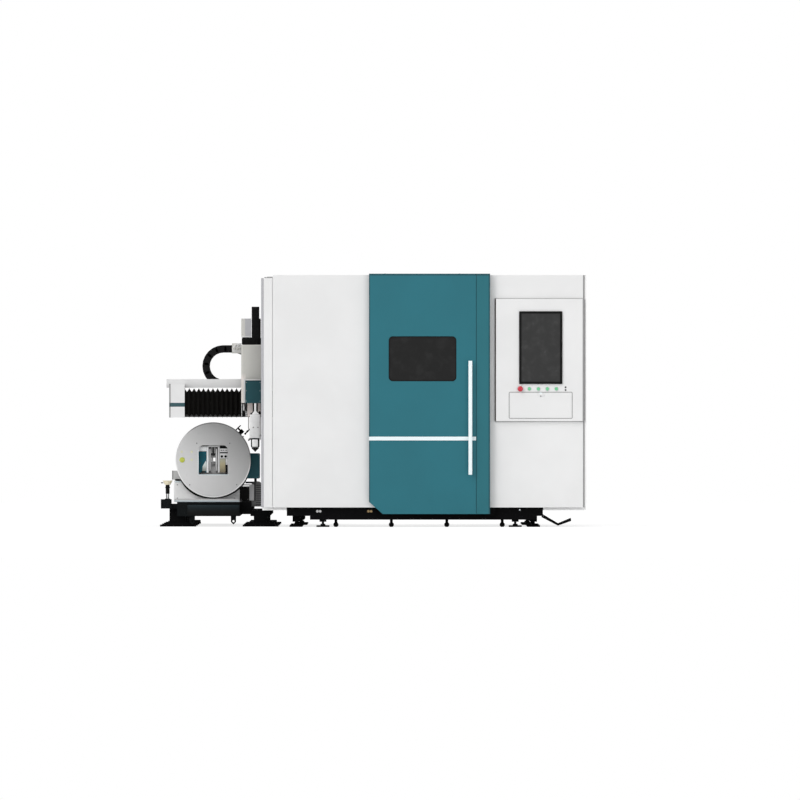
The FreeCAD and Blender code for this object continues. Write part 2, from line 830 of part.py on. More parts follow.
def make_door_handle():
    """Tall flat handle bar on three stand-offs."""
    x = (door_right - handle_inset - handle_width, door_right - handle_inset)
    front = door_face_y - handle_reach
    bar = block(x, from_low(front, handle_thickness), from_low(handle_bottom, handle_height))
    bar = round_along(bar, "z", handle_thickness / 4)
    pieces = [bar]
    grip = handle_width / 4
    for z in (handle_bottom + handle_foot, handle_bottom + handle_height - 2 * handle_foot):
        pieces.append(block((x[0] + grip, x[1] - grip), (front + handle_thickness / 2, door_face_y),
                            from_low(z, handle_foot)))
    return fused(pieces)


# ---------------------------------------------------------------- console

def flap_box(margin, y):
    """Block over the keyboard flap's outline, larger by a margin."""
    x = from_low(console_x[0] + flap_left, flap_width)
    z = from_low(console_bottom + flap_bottom, flap_height)
    return block((x[0] - margin, x[1] + margin), y, (z[0] - margin, z[1] + margin))


def green_xs():
    """Middles of the four push buttons."""
    return [console_x[0] + green_left + green_pitch * step for step in range(4)]


def make_console_door():
    """Hinged console front: folded sheet with holes for monitor, buttons and keyboard flap."""
    y = (console_face_y, -running_gap)
    door = folded(console_x, y, from_low(console_bottom, console_height), sheet, "+y")
    screen_x = from_low(console_x[0] + monitor_left, monitor_width)
    screen_z = from_low(console_bottom + monitor_bottom, monitor_height)
    rim = monitor_bezel / 2
    cuts = [block((screen_x[0] + rim, screen_x[1] - rim), (y[0] - sheet, y[0] + 2 * sheet),
                  (screen_z[0] + rim, screen_z[1] - rim))]
    row = console_bottom + button_height
    for x in green_xs():
        cuts.append(rod(green_radius + button_clearance, (x, y[0] - sheet, row),
                        (x, y[0] + 2 * sheet, row)))
    stop_x = console_x[0] + stop_left
    cuts.append(rod(stop_stem + button_clearance, (stop_x, y[0] - sheet, row),
                    (stop_x, y[0] + 2 * sheet, row)))
    cuts.append(flap_box(flap_seam, (y[0] - sheet, y[0] + 2 * sheet)))
    ledge_back = y[0] + flap_thickness + keyboard_thickness + sheet
    ledge = flap_box(3 * flap_seam + sheet, (y[0] + sheet, ledge_back))
    ledge = ledge.cut(flap_box(flap_seam, (y[0], y[1] + sheet)))
    return fused([door.cut(group(cuts)), ledge])


def make_monitor_frame():
    """Monitor housing: raised bezel in front of the sheet and the body behind it."""
    x = from_low(console_x[0] + monitor_left, monitor_width)
    z = from_low(console_bottom + monitor_bottom, monitor_height)
    rim = monitor_bezel / 2
    bezel = block(x, (console_face_y - monitor_proud, console_face_y), z)
    bezel = round_along(bezel, "y", 6)
    body = block((x[0] + rim, x[1] - rim), (console_face_y, console_face_y + monitor_back),
                 (z[0] + rim, z[1] - rim))
    full = monitor_bezel
    recess = block((x[0] + full, x[1] - full),
                   (console_face_y - 2 * monitor_proud, console_face_y - monitor_proud / 2),
                   (z[0] + full, z[1] - full))
    return fused([bezel, body]).cut(recess)


def make_monitor_screen():
    """Glass of the screen, let into the bezel."""
    x = from_low(console_x[0] + monitor_left + monitor_bezel, monitor_width - 2 * monitor_bezel)
    z = from_low(console_bottom + monitor_bottom + monitor_bezel, monitor_height - 2 * monitor_bezel)
    back = console_face_y - monitor_proud / 2
    return block(x, (back - monitor_proud / 4, back), z)


def turned_button(profile, x):
    """Button turned about its axis, from (radius, height ahead of the console's face) points."""
    button = turned([(0, profile[0][1])] + profile + [(0, profile[-1][1])], 0, 0)
    button.rotate(V(0, 0, 0), V(1, 0, 0), 90)
    button.translate(V(x, console_face_y, console_bottom + button_height))
    return button


def make_green_button(x):
    """Push button with a bevelled front edge."""
    bevel = green_proud / 5
    return turned_button([(green_radius, -button_back), (green_radius, green_proud - bevel),
                          (green_radius - bevel, green_proud)], x)


def make_stop_button():
    """Mushroom-headed stop button on its stem."""
    bevel = stop_length / 6
    profile = [(stop_stem, -button_back), (stop_stem, stop_length / 2), (stop_radius, stop_length / 2),
               (stop_radius, stop_length - bevel), (stop_radius - bevel, stop_length)]
    return turned_button(profile, console_x[0] + stop_left)


def make_keyboard_flap():
    """Fold-down flap with a small finger pull at the top."""
    flap = flap_box(0, from_low(console_face_y, flap_thickness))
    middle = console_x[0] + flap_left + flap_width / 2
    top = console_bottom + flap_bottom + flap_height
    pull = block(about(middle, pull_width), (console_face_y - pull_proud, console_face_y + 1),
                 from_low(top - pull_drop - pull_height, pull_height))
    return fused([flap, pull])


def make_keyboard():
    """Keyboard held on the flap's inner side."""
    x = from_low(console_x[0] + flap_left, flap_width)
    z = from_low(console_bottom + flap_bottom, flap_height)
    m = keyboard_margin
    return block((x[0] + m, x[1] - m), from_low(console_face_y + flap_thickness, keyboard_thickness),
                 (z[0] + m, z[1] - m))


# ---------------------------------------------------------------- gantry

def runner(x, y, top, width, wall, rail_w, rail_h):
    """Runner block astride a rail whose top is at top, open underneath."""
    body = block(about(x, width), from_low(y, runner_length), (top - rail_h * 0.7, top + wall))
    slot = block(about(x, rail_w + 2 * running_gap), (y - 1, y + runner_length + 1),
                 (top - rail_h, top + running_gap))
    return body.cut(slot)


def make_gantry_beam():
    """Welded beam with its two legs on runner blocks, guides on its front and an end plate."""
    beam = block((beam_left, beam_right), (gantry_front, beam_back), (beam_bottom, beam_top))
    hollow = block((beam_left - 1, beam_right - beam_wall),
                   (gantry_front + beam_wall, beam_back - beam_wall),
                   (beam_bottom + beam_wall, beam_top - beam_wall))
    pieces = [beam.cut(hollow)]
    base = rail_top + runner_wall
    for x in rail_xs:
        side = [(leg_front, base), (leg_back, base), (leg_back, base + leg_base),
                (beam_back, beam_bottom), (gantry_front, beam_bottom),
                (gantry_front, bellows_low - 1), (leg_front, base + leg_base)]
        leg_x = about(x, leg_width)
        pieces.append(prism(side, "x", leg_x[0], leg_x[1]))
        for y in (leg_front, leg_back - runner_length):
            pieces.append(runner(x, y, rail_top, runner_width, runner_wall, rail_width, rail_height))
    riser_xs = [beam_left + riser_width / 2]
    riser_xs += spread(column_x[0] + riser_width, beam_right - riser_width, riser_count)
    for x in riser_xs:
        pieces.append(block(about(x, riser_width), (gantry_front + tray_lip, beam_back - tray_lip),
                            (beam_top - 1, tray_bottom)))
    for z in (guide_low, guide_high):
        pieces.append(block((cap_right + guide_size, beam_right - guide_size),
                            (gantry_front - guide_size, gantry_front), about(z, guide_size)))
    plate = block((beam_right - end_plate, beam_right), (gantry_front - bellows_front, gantry_front),
                  (bellows_low, bellows_high))
    pieces.append(plate)
    return fused(pieces)


def make_beam_cover():
    """Folded tray on top of the beam, in which the chain's lower run lies."""
    return folded((tray_left, beam_right + tray_lip),
                  (gantry_front - tray_lip, beam_back + tray_lip),
                  from_low(tray_bottom, tray_height), sheet, "+z")


def make_beam_end_cap():
    """Cover over the beam's free end and the end of the bellows."""
    x = (cap_left, cap_right)
    y = (gantry_front - bellows_front, beam_back + cap_wall)
    hood_y = (y[0], gantry_front - tray_lip - cap_wall)
    inside_x = (cap_left + cap_wall, cap_right + 1)
    cap = fused([block(x, y, (cap_bottom, tray_bottom)), block(x, hood_y, (cap_bottom, cap_top))])
    cap = cap.cut(block(inside_x, (y[0] + cap_wall, beam_back), (cap_bottom + cap_wall, tray_bottom + 1)))
    cap = cap.cut(block(inside_x, (y[0] + cap_wall, hood_y[1] - cap_wall),
                        (cap_bottom + cap_wall, cap_top - cap_wall)))
    return round_along(cap, "z", cap_wall * 2, lambda p: p.x < cap_left + 1 and p.y < y[0] + 1)


def pleated(start, end, pitch):
    """Bellows over the beam's guides: pleats on its front, top and underside."""
    count = max(2, round((end - start) / pitch))
    steps = range(2 * count + 1)
    xs = [start + (end - start) * step / (2 * count) for step in steps]
    folds = [bellows_fold if step % 2 else 0 for step in steps]
    front = gantry_front - bellows_front
    plan = [(x, front + fold) for x, fold in zip(xs, folds)] + [(end, gantry_front), (start, gantry_front)]
    side = [(x, bellows_low + fold) for x, fold in zip(xs, folds)]
    side += [(x, bellows_high - fold) for x, fold in reversed(list(zip(xs, folds)))]
    body = prism(plan, "z", bellows_low, bellows_high).common(prism(side, "y", front, gantry_front))
    deep = bellows_fold + bellows_wall
    hollow = block((start - 1, end + 1), (front + deep, gantry_front + 1),
                   (bellows_low + deep, bellows_high - deep))
    return body.cut(hollow)


def chain_pivots():
    """Pivots of the chain's links, from the fixed end round the bend to the carriage."""
    step = math.pi * chain_radius / chain_links_bend
    pitch = 2 * chain_radius * math.sin(step / chain_radius / 2)
    points = []
    run = int((chain_fixed_x - chain_bend_x) / pitch)
    for link in range(run, 0, -1):
        points.append((chain_bend_x + link * pitch, chain_low_z))
    middle = (chain_low_z + chain_high_z) / 2
    for link in range(chain_links_bend + 1):
        angle = -math.pi / 2 - math.pi * link / chain_links_bend
        points.append((chain_bend_x + chain_radius * math.cos(angle),
                       middle + chain_radius * math.sin(angle)))
    last = int((column_x[0] - chain_height / 3 - chain_bend_x) / pitch)
    for link in range(1, last + 1):
        points.append((chain_bend_x + link * pitch, chain_high_z))
    return points


def chain_link(start, end, inner):
    """Side plates with bevelled round ends, joined by a bar above and below."""
    along = V(end[0] - start[0], 0, end[1] - start[1])
    length = along.Length
    half = chain_height / 2
    bevel = half * 0.42
    outline = [(-bevel, half), (-half, bevel), (-half, -bevel), (-bevel, -half),
               (length + bevel, -half), (length + half, -bevel), (length + half, bevel),
               (length + bevel, half)]
    inset = chain_plate if inner else 0
    near = chain_front + inset
    far = chain_front + chain_width - inset
    pieces = [prism(outline, "y", near, near + chain_plate - running_gap),
              prism(outline, "y", far - chain_plate + running_gap, far)]
    for z in ((half - chain_bar, half), (-half, chain_bar - half)):
        pieces.append(block(about(length / 2, length / 2.4), (near, far), z))
    link = fused(pieces)
    link.rotate(V(0, 0, 0), V(0, -1, 0), math.degrees(math.atan2(along.z, along.x)))
    link.translate(V(start[0], 0, start[1]))
    return link


def make_cable_chain():
    """Cable chain that rolls over itself above the beam as the carriage moves."""
    pivots = chain_pivots()
    links = []
    for number, (start, end) in enumerate(zip(pivots, pivots[1:])):
        links.append(chain_link(start, end, number % 2 == 1))
    return group(links)


# ---------------------------------------------------------------- carriage and cutting axis

def make_carriage_plate():
    """Plate on runners on the beam's guides, with the two Z guides in front of it."""
    plate_y = from_low(column_back, carriage_thickness)
    pieces = [block(column_x, plate_y, (column_bottom, carriage_top)),
              block((tongue_left, tongue_right), plate_y, (carriage_bottom, carriage_top))]
    reach = gantry_front - 2
    runner_places = {
        guide_low: [(tongue_left + tongue_right - runner_length) / 2],
        guide_high: [column_x[0] + carriage_runner_inset,
                     column_x[1] - carriage_runner_inset - runner_length],
    }
    for z, places in runner_places.items():
        for x in places:
            body = block(from_low(x, runner_length), (column_back + carriage_thickness, reach),
                         about(z, 2 * guide_size))
            slot = block(from_low(x - 1, runner_length + 2),
                         (gantry_front - guide_size - running_gap, gantry_front),
                         about(z, guide_size + 2 * running_gap))
            pieces.append(body.cut(slot))
    for inset in z_guide_insets:
        pieces.append(block(from_low(column_x[0] + inset, z_guide_width),
                            from_low(column_back, z_guide_depth), (z_guide_low, column_bottom + 1)))
    return fused(pieces)


def make_z_column():
    """Folded column that houses the Z axis, with the bracket that ends the cable chain."""
    column = block(column_x, (column_front, column_back), (column_bottom, column_top))
    column = round_along(column, "z", column_round, lambda p: p.y < column_front + 1)
    shelf_top = chain_high_z - chain_height / 2 - running_gap
    back = chain_front + chain_width
    shelf = block((chain_bracket_left, column_x[0] + column_width / 3),
                  (column_back - sheet, back), (shelf_top - 2 * sheet, shelf_top))
    lip = block((chain_bracket_left, column_x[0]), (chain_front - 2 * sheet, chain_front - sheet),
                (shelf_top - sheet, chain_bracket_top))
    return fused([column, shelf, lip])


def make_z_motor():
    """Z motor with its flange block and encoder."""
    base_y = (column_front + motor_base_setback, column_back - motor_base_setback)
    base_x = from_low(column_x[0] + motor_base_inset, motor_base_width)
    base = block(base_x, base_y, from_low(column_top, motor_base_height))
    motor_z = column_top + motor_base_height
    middle_y = (column_front + column_back) / 2
    motor_x = from_low(column_x[0] + sensor_box_width + motor_gap, motor_width)
    motor = block(motor_x, about(middle_y, motor_width), from_low(motor_z, motor_height))
    motor = round_along(motor, "z", motor_round)
    encoder = block(from_low(motor_x[0], encoder_width), about(middle_y, encoder_width),
                    from_low(motor_z + motor_height, encoder_height))
    encoder = round_along(encoder, "z", motor_round)
    return fused([base, motor, encoder])


def make_sensor_box():
    """Junction box beside the motor."""
    y = (column_front + sensor_box_setback, column_back - motor_base_setback)
    return block(from_low(column_x[0], sensor_box_width), y,
                 from_low(column_top + motor_base_height, motor_height))


def make_slide_cover():
    """Teal cover of the Z slide, in front of the column."""
    y = (column_front - running_gap - slide_depth, column_front - running_gap)
    cover = folded(from_low(slide_left, slide_width), y, from_low(slide_bottom, slide_height),
                   sheet, "+y")
    return cover


def make_cutting_head():
    """Cutting head: fiber connector, square body, round neck and two angled gas fittings."""
    flare = head_connector_radius + head_connector_flare
    lip = head_body_top + head_connector_lip
    connector = turned([(0, slide_bottom), (0, head_body_top), (flare, head_body_top), (flare, lip),
                        (head_connector_radius, lip + head_connector_cone),
                        (head_connector_radius, slide_bottom)], head_x, head_y)
    body = block(about(head_x, head_body_width), about(head_y, head_body_width - 2),
                 (head_body_bottom, head_body_top))
    body = round_along(body, "z", head_body_round)
    neck_step = head_neck_radius * 0.86
    neck = turned([(0, head_body_bottom), (0, head_neck_bottom), (neck_step, head_neck_bottom),
                   (head_neck_radius, head_neck_bottom + head_body_round),
                   (head_neck_radius, head_body_bottom)], head_x, head_y)
    pieces = [connector, body, neck]
    side = head_x - head_body_width / 2
    for height, reach in zip(fitting_heights, fitting_reaches):
        z = head_body_bottom + height
        tip = reach * math.sin(math.pi / 4)
        pieces.append(rod(fitting_radius, (side + fitting_sink, head_y, z - fitting_sink),
                          (side - tip, head_y, z + tip)))
    return fused(pieces)


def make_nozzle():
    """Nozzle with its ring, bored through."""
    ring = head_neck_radius * nozzle_ring_share
    profile = [(nozzle_bore, head_neck_bottom), (nozzle_bore, nozzle_tip),
               (nozzle_tip_radius, nozzle_tip), (ring / 2, nozzle_tip + nozzle_face),
               (ring, nozzle_tip + nozzle_cone), (ring, head_neck_bottom)]
    return turned(profile, head_x, head_y)


# ---------------------------------------------------------------- tube station

def chuck_axis_rod(radius, front, back):
    """Cylinder about the tube axis."""
    return rod(radius, (tube_axis_x, front, tube_axis_z), (tube_axis_x, back, tube_axis_z))


def jaw_slots(front, radius):
    """Radial slots for the side jaws and, behind them, for the upper and lower jaws."""
    wide = (disc_rim - radius, radius - disc_rim)
    tall = (-jaw_half_height - running_gap, jaw_half_height + running_gap)
    slots = []
    for plane, across, up in ((jaw_front_plane, wide, tall), (jaw_back_plane, tall, wide)):
        y = (front + plane - running_gap, front + plane + jaw_depth + running_gap)
        slots.append(block((tube_axis_x + across[0], tube_axis_x + across[1]), y,
                           (tube_axis_z + up[0], tube_axis_z + up[1])))
    return slots


def make_rotor(front, radius, shaft, back, bevel=0):
    """Chuck rotor: thick disc with a square window, jaw slots and a hollow shaft."""
    disc = chuck_axis_rod(radius, front, front + disc_thickness)
    if bevel:
        rim = [edge for edge in disc.Edges
               if edge.BoundBox.YMax < front + 1 and edge.BoundBox.XLength > 1]
        disc = disc.makeChamfer(bevel, rim)
    window = block(about(tube_axis_x, 2 * disc_window), (front - 1, front + disc_thickness + 1),
                   about(tube_axis_z, 2 * disc_window))
    window = round_along(window, "y", disc_window_round, lambda p: p.z > tube_axis_z)
    solid = fused([disc, chuck_axis_rod(shaft, front + disc_thickness, back)])
    solid = solid.cut(window)
    solid = solid.cut(chuck_axis_rod(disc_window, front + disc_thickness - 1, back + 1))
    for slot in jaw_slots(front, radius):
        solid = solid.cut(slot)
    return solid


def make_jaw(front, turn):
    """Jaw with its roller: 0 right, 90 up, 180 left, 270 down."""
    plane = jaw_front_plane if turn % 180 == 0 else jaw_back_plane
    y = from_low(front + plane, jaw_depth)
    tall = (-jaw_half_height, jaw_half_height)
    back_x = roller_offset + roller_radius + jaw_roller_gap
    pieces = [block((back_x, jaw_outer), y, tall)]
    for z in (from_low(tall[0], jaw_arm), (tall[1] - jaw_arm, tall[1])):
        pieces.append(block((roller_offset - jaw_arm_inner, back_x), y, z))
    middle = y[0] + jaw_depth / 2
    long = (tall[0] + jaw_arm, tall[1] - jaw_arm)
    pieces.append(turned([(0, long[0]), (roller_radius, long[0]), (roller_radius, long[1]),
                          (0, long[1])], roller_offset, middle))
    jaw = fused(pieces)
    jaw.rotate(V(0, 0, 0), V(0, -1, 0), turn)
    jaw.translate(V(tube_axis_x, 0, tube_axis_z))
    return jaw


def make_front_chuck_housing():
    """Bearing housing of the front chuck on its light base block."""
    front = disc_back + rotor_gap
    back = front + housing_length
    ring = chuck_axis_rod(housing_radius, front, back)
    base_x = (housing_base_left, housing_base_right)
    base = block(base_x, (front, back), (tube_bed_top, housing_base_top))
    clamp = block((housing_base_left - clamp_reach, housing_base_left + clamp_inner),
                  from_low(front, clamp_depth), from_low(housing_base_top, clamp_height))
    bore = chuck_axis_rod(shaft_radius + running_gap, front - 1, back + 1)
    return fused([ring, base, clamp]).cut(bore)


def make_chuck_motor():
    """Gear case beside the front chuck with its upright motor under it."""
    front = disc_back + gear_setback
    middle = front + gear_depth / 2
    case = block((gear_left, gear_right), about(middle, gear_depth), (gear_bottom, gear_top))
    case = round_along(case, "y", gear_round, lambda p: p.x > gear_right - 1)
    motor = block((drive_left, drive_right), about(middle, drive_depth), (drive_bottom, drive_top))
    motor = round_along(motor, "y", drive_round, lambda p: p.z > drive_top - 1)
    neck = block(about(gear_left + 4 * drive_neck_width, drive_neck_width),
                 about(middle, drive_depth / 2), (drive_top - 1, gear_bottom + 1))
    return fused([case, motor, neck]).cut(chuck_axis_rod(housing_radius, disc_back, front + 2 * gear_depth))


def make_drive_box():
    """Black drive box on the right of the base block."""
    return block((housing_base_right, drive_box_right),
                 from_low(disc_back + drive_box_setback, drive_box_depth),
                 (drive_box_bottom, drive_box_top))


def make_air_valve():
    """Air valve on the upper right of the housing, with a lever beside it."""
    middle = disc_back + drive_box_setback + valve_width / 2
    half = valve_width / 2
    lever_z = half + valve_stem_height
    body = block((housing_radius - sheet, valve_radius + valve_out),
                 about(middle, valve_width), (-half, half))
    stem = block(about(valve_radius, valve_stem), about(middle, valve_stem), (half - 1, lever_z))
    lever = block((valve_radius - valve_lever[0], valve_radius + valve_lever[1]),
                  about(middle, 1.4 * valve_stem), about(lever_z, valve_lever_thickness))
    valve = fused([body, stem, lever])
    valve.rotate(V(0, 0, 0), V(0, -1, 0), valve_angle)
    valve.translate(V(tube_axis_x, 0, tube_axis_z))
    ring = chuck_axis_rod(housing_radius, disc_back, disc_back + rotor_gap + housing_length)
    return valve.cut(ring)


def make_rear_chuck_carriage():
    """Rear chuck's housing and base, on runner blocks along the tube bed."""
    front = rear_disc_front + disc_thickness + rotor_gap
    back = front + rear_housing_length
    base_bottom = tube_rail_top + runner_wall
    base = block((tube_bed_left + rear_base_inset, tube_bed_right - rear_base_inset), (front, back),
                 from_low(base_bottom, rear_base_height))
    ring = chuck_axis_rod(rear_housing_radius, front, back)
    column = block(about(tube_axis_x, 1.6 * rear_housing_radius), (front, back),
                   (base_bottom + rear_base_height, tube_axis_z))
    pieces = [base, column, ring]
    for x in tube_rail_xs:
        for y in (front, back - runner_length):
            pieces.append(runner(x, y, tube_rail_top, runner_width * 0.85, runner_wall,
                                 tube_rail_width, tube_rail_height))
    bore = chuck_axis_rod(rear_shaft_radius + running_gap, front - 1, back + 1)
    return fused(pieces).cut(bore)


def make_tube_bed():
    """Long bed of the tube station, with its lugs and the arm that holds the side support."""
    x = (tube_bed_left, tube_bed_right)
    y = (tube_bed_front, tube_bed_back)
    bed = block(x, y, (tube_bed_bottom, tube_bed_top))
    recess = block((x[0] + panel_left, x[1] - panel_right), (y[0] - 1, y[0] + tube_bed_panel),
                   (tube_bed_bottom + panel_low, tube_bed_top - panel_high))
    pieces = [bed.cut(recess)]
    lugs = []
    half = lug_width / 2
    for lug_x in lug_lefts:
        outline = [(lug_x, tube_bed_bottom), (lug_x + lug_width, tube_bed_bottom),
                   (lug_x + lug_width, lug_bottom + half), (lug_x + half, lug_bottom),
                   (lug_x, lug_bottom + half)]
        lug = prism(outline, "y", y[0] + lug_setback, y[0] + lug_setback + lug_thickness)
        eye = rod(lug_eye_radius, (lug_x + half, y[0] + lug_setback - 1, lug_eye_z),
                  (lug_x + half, y[0] + lug_setback + lug_thickness + 1, lug_eye_z))
        lugs.append(lug.cut(eye))
    holder = block((support_box_left, support_box_right), about(support_y, support_box_depth),
                   (support_box_bottom, support_box_top))
    arm = block((support_box_right, x[0]), about(support_y, support_box_depth / 2),
                (support_box_bottom, tube_bed_top - panel_high))
    hole = rod(support_rod_radius + running_gap, (support_x, support_y, support_box_bottom - 1),
               (support_x, support_y, support_box_top + 1))
    pieces += [holder.cut(hole), arm]
    return group([fused(pieces)] + lugs)


def pedestal_ys():
    """Places of the pedestals along the tube bed."""
    first = tube_bed_front + 1.3 * pedestal_depth
    return spread(first, tube_bed_back - pedestal_depth, pedestal_rows)


def tied_pedestal_ys():
    """Places of the pedestals beside the machine bed, which are tied to its brackets."""
    return [y for y in pedestal_ys() if y < bed_back - pedestal_depth]


def make_tube_pedestals():
    """Pedestals under the tube bed: left ones with an ear, right ones on an outrigger arm."""
    feet = []
    for y in pedestal_ys():
        deep = about(y, pedestal_depth)
        wide = about(y, pedestal_depth + 2 * pedestal_plate_overhang)
        column = block(from_low(pedestal_left, pedestal_left_width), deep,
                       (pedestal_plate_top, tube_bed_bottom))
        ear = block((pedestal_left, tube_bed_left), deep, (tube_bed_bottom, pedestal_ear_top))
        upper = block((plate_left + pedestal_plate_inset, plate_left + plate_left_width - sheet), wide,
                      (pedestal_plate_mid, pedestal_plate_top))
        lower = block(from_low(plate_left, plate_left_width), wide, (0, pedestal_plate_mid))
        feet.append(fused([column, ear, upper, lower]))
        arm = block((tube_bed_right, outrigger_arm_right), deep,
                    (outrigger_arm_bottom, tube_bed_top))
        flange = block((outrigger_arm_right - 5, flange_right), deep, (tube_bed_bottom, flange_top))
        stem = block(from_low(pedestal_right, pedestal_right_width), deep,
                     (pedestal_plate_top, tube_bed_bottom))
        upper = block((plate_right + pedestal_plate_inset,
                       plate_right + plate_right_width - pedestal_plate_inset), wide,
                      (pedestal_plate_mid, pedestal_plate_top))
        lower = block(from_low(plate_right, plate_right_width), wide, (0, pedestal_plate_mid))
        right_foot = [arm, flange, stem, upper, lower]
        if y in tied_pedestal_ys():
            pad_x = (2 * sheet, flange_right - 2 * sheet)
            right_foot.append(block(pad_x, about(y, outrigger_width / 2),
                                    (flange_top, skin_bottom - outrigger_height)))
        feet.append(fused(right_foot))
    return group(feet)


def make_support_rod():
    """Rod and stem of the side support, sliding in its holder."""
    rod_bottom = support_box_bottom + sheet
    profile = [(0, rod_bottom), (support_rod_radius, rod_bottom),
               (support_rod_radius, support_stem_bottom), (support_stem_radius, support_stem_bottom),
               (support_stem_radius, support_stem_top), (0, support_stem_top)]
    return turned(profile, support_x, support_y)


def make_support_cup():
    """Nylon cup on the rod's top."""
    low = support_stem_top
    floor = low + support_cup_floor
    profile = [(0, low), (support_cup_foot, low), (support_cup_radius, support_cup_top),
               (support_cup_radius - support_cup_wall, support_cup_top), (support_cup_foot, floor),
               (0, floor)]
    return turned(profile, support_x, support_y)


# ---------------------------------------------------------------- pallets and exchange frame

def exchange_beam_xs():
    """Middles of the exchange frame's side beams."""
    half = exchange_beam_width / 2
    return (inner_left - half, inner_right + half)


def exchange_leg_ys():
    """Places of the exchange frame's legs."""
    return spread(exchange_front + exchange_beam_width, exchange_back - exchange_beam_width,
                  exchange_rows)


def make_exchange_frame():
    """Frame behind the enclosure that holds the second pallet at two track levels."""
    y = (exchange_front, exchange_back)
    pieces = pallet_tracks(exchange_front, exchange_back)
    for x in exchange_beam_xs():
        pieces.append(block(about(x, exchange_beam_width), y, (exchange_beam_bottom, exchange_beam_top)))
        for leg_y in exchange_leg_ys():
            pieces.append(block(about(x, exchange_beam_width), about(leg_y, exchange_beam_width),
                                (bed_bottom, exchange_beam_bottom)))
    low = pallet_lower_track - 6 * track_sheet
    for leg_y in exchange_leg_ys():
        pieces.append(block((inner_left, inner_right), about(leg_y, exchange_beam_width),
                            (exchange_beam_bottom, low)))
    return fused(pieces)


def make_pallet(front, track):
    """Slatted pallet on wheels: welded frame, and loose slats on edge between its side rails."""
    x = pallet_x
    y = from_low(front, pallet_length)
    z = from_low(track + pallet_lift, pallet_rail_height)
    pieces = []
    for side in (from_low(x[0], pallet_rail), (x[1] - pallet_rail, x[1])):
        pieces.append(block(side, y, z))
    for end in (from_low(y[0], pallet_rail), (y[1] - pallet_rail, y[1])):
        pieces.append(block(x, end, z))
    first = y[0] + 1.5 * pallet_rail
    last = y[1] - 1.5 * pallet_rail
    top = track + slat_top
    slats = [block((x[0] + pallet_rail, x[1] - pallet_rail), about(slat_y, slat_thickness),
                   (top - slat_height, top)) for slat_y in spread(first, last, slat_count)]
    for wheel_y in spread(y[0] + 4 * wheel_radius, y[1] - 4 * wheel_radius, wheel_rows):
        for low in (x[0] - wheel_width, x[1]):
            axle = track + wheel_radius + running_gap
            pieces.append(rod(wheel_radius, (low, wheel_y, axle), (low + wheel_width, wheel_y, axle)))
    return group([fused(pieces)] + slats)


# ---------------------------------------------------------------- all nodes

def build():
    """Every node of the machine by name."""
    nodes = {
        "bed_frame": make_bed_frame(),
        "levelling_feet": make_levelling_feet(),
        "linear_rails": make_linear_rails(),
        "front_skin_left": make_front_skin_left(),
        "front_skin_right": make_front_skin_right(),
        "side_skin_left": make_side_skin_left(),
        "side_skin_right": make_side_skin_right(),
        "rear_skin": make_rear_skin(),
        "roof_skin": make_roof_skin(),
        "door_post": make_door_post(),
        "door_track": make_door_track(),
        "door_panel": make_door_panel(),
        "door_window": make_door_window(),
        "door_trim": make_door_trim(),
        "door_handle": make_door_handle(),
        "console_door": make_console_door(),
        "monitor_frame": make_monitor_frame(),
        "monitor_screen": make_monitor_screen(),
        "stop_button": make_stop_button(),
        "keyboard_flap": make_keyboard_flap(),
        "keyboard": make_keyboard(),
        "gantry_beam": make_gantry_beam(),
        "beam_cover": make_beam_cover(),
        "beam_end_cap": make_beam_end_cap(),
        "bellows_left": pleated(cap_right, column_x[0] - running_gap, bellows_pitch),
        "bellows_right": pleated(column_x[1] + running_gap, beam_right - end_plate,
                                 bellows_long_pitch),
        "cable_chain": make_cable_chain(),
        "carriage_plate": make_carriage_plate(),
        "z_column": make_z_column(),
        "z_motor": make_z_motor(),
        "sensor_box": make_sensor_box(),
        "slide_cover": make_slide_cover(),
        "cutting_head": make_cutting_head(),
        "nozzle": make_nozzle(),
        "front_chuck_housing": make_front_chuck_housing(),
        "chuck_motor": make_chuck_motor(),
        "drive_box": make_drive_box(),
        "air_valve": make_air_valve(),
        "rear_chuck_carriage": make_rear_chuck_carriage(),
        "tube_bed": make_tube_bed(),
        "tube_pedestals": make_tube_pedestals(),
        "support_rod": make_support_rod(),
        "support_cup": make_support_cup(),
        "exchange_frame": make_exchange_frame(),
        "pallet_upper": make_pallet(pallet_front, pallet_upper_track),
        "pallet_lower": make_pallet(pallet_front + pallet_travel, pallet_lower_track),
    }
    for number, x in enumerate(green_xs(), start=1):
        nodes[f"green_button_{number}"] = make_green_button(x)
    shaft_back = disc_back + rotor_gap + housing_length + shaft_end
    nodes["chuck_disc"] = make_rotor(disc_front, disc_radius, shaft_radius, shaft_back, disc_bevel)
    rear_back = rear_disc_front + disc_thickness + rotor_gap + rear_housing_length + shaft_end
    nodes["rear_chuck_rotor"] = make_rotor(rear_disc_front, rear_disc_radius, rear_shaft_radius,
                                           rear_back)
    for place, turn in (("right", 0), ("top", 90), ("left", 180), ("bottom", 270)):
        nodes[f"front_jaw_{place}"] = make_jaw(disc_front, turn)
        nodes[f"rear_jaw_{place}"] = make_jaw(rear_disc_front, turn)
    return nodes


def footprint_middle(nodes):
    """Middle of the whole machine's outline on the floor."""
    box = group(list(nodes.values())).BoundBox
    return V((box.XMin + box.XMax) / 2, (box.YMin + box.YMax) / 2, 0)


def main():
    nodes = build()
    middle = footprint_middle(nodes)
    os.makedirs("parts", exist_ok=True)
    for name, shape in nodes.items():
        shape.translate(-middle)
        shape.exportStep(f"parts/{name}.step")
        print(name, "valid" if shape.isValid() else "NOT VALID", len(shape.Solids))


if __name__ == "__main__":
    main()
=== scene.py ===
import math

import bmesh
import bpy
from mathutils import Matrix, Vector


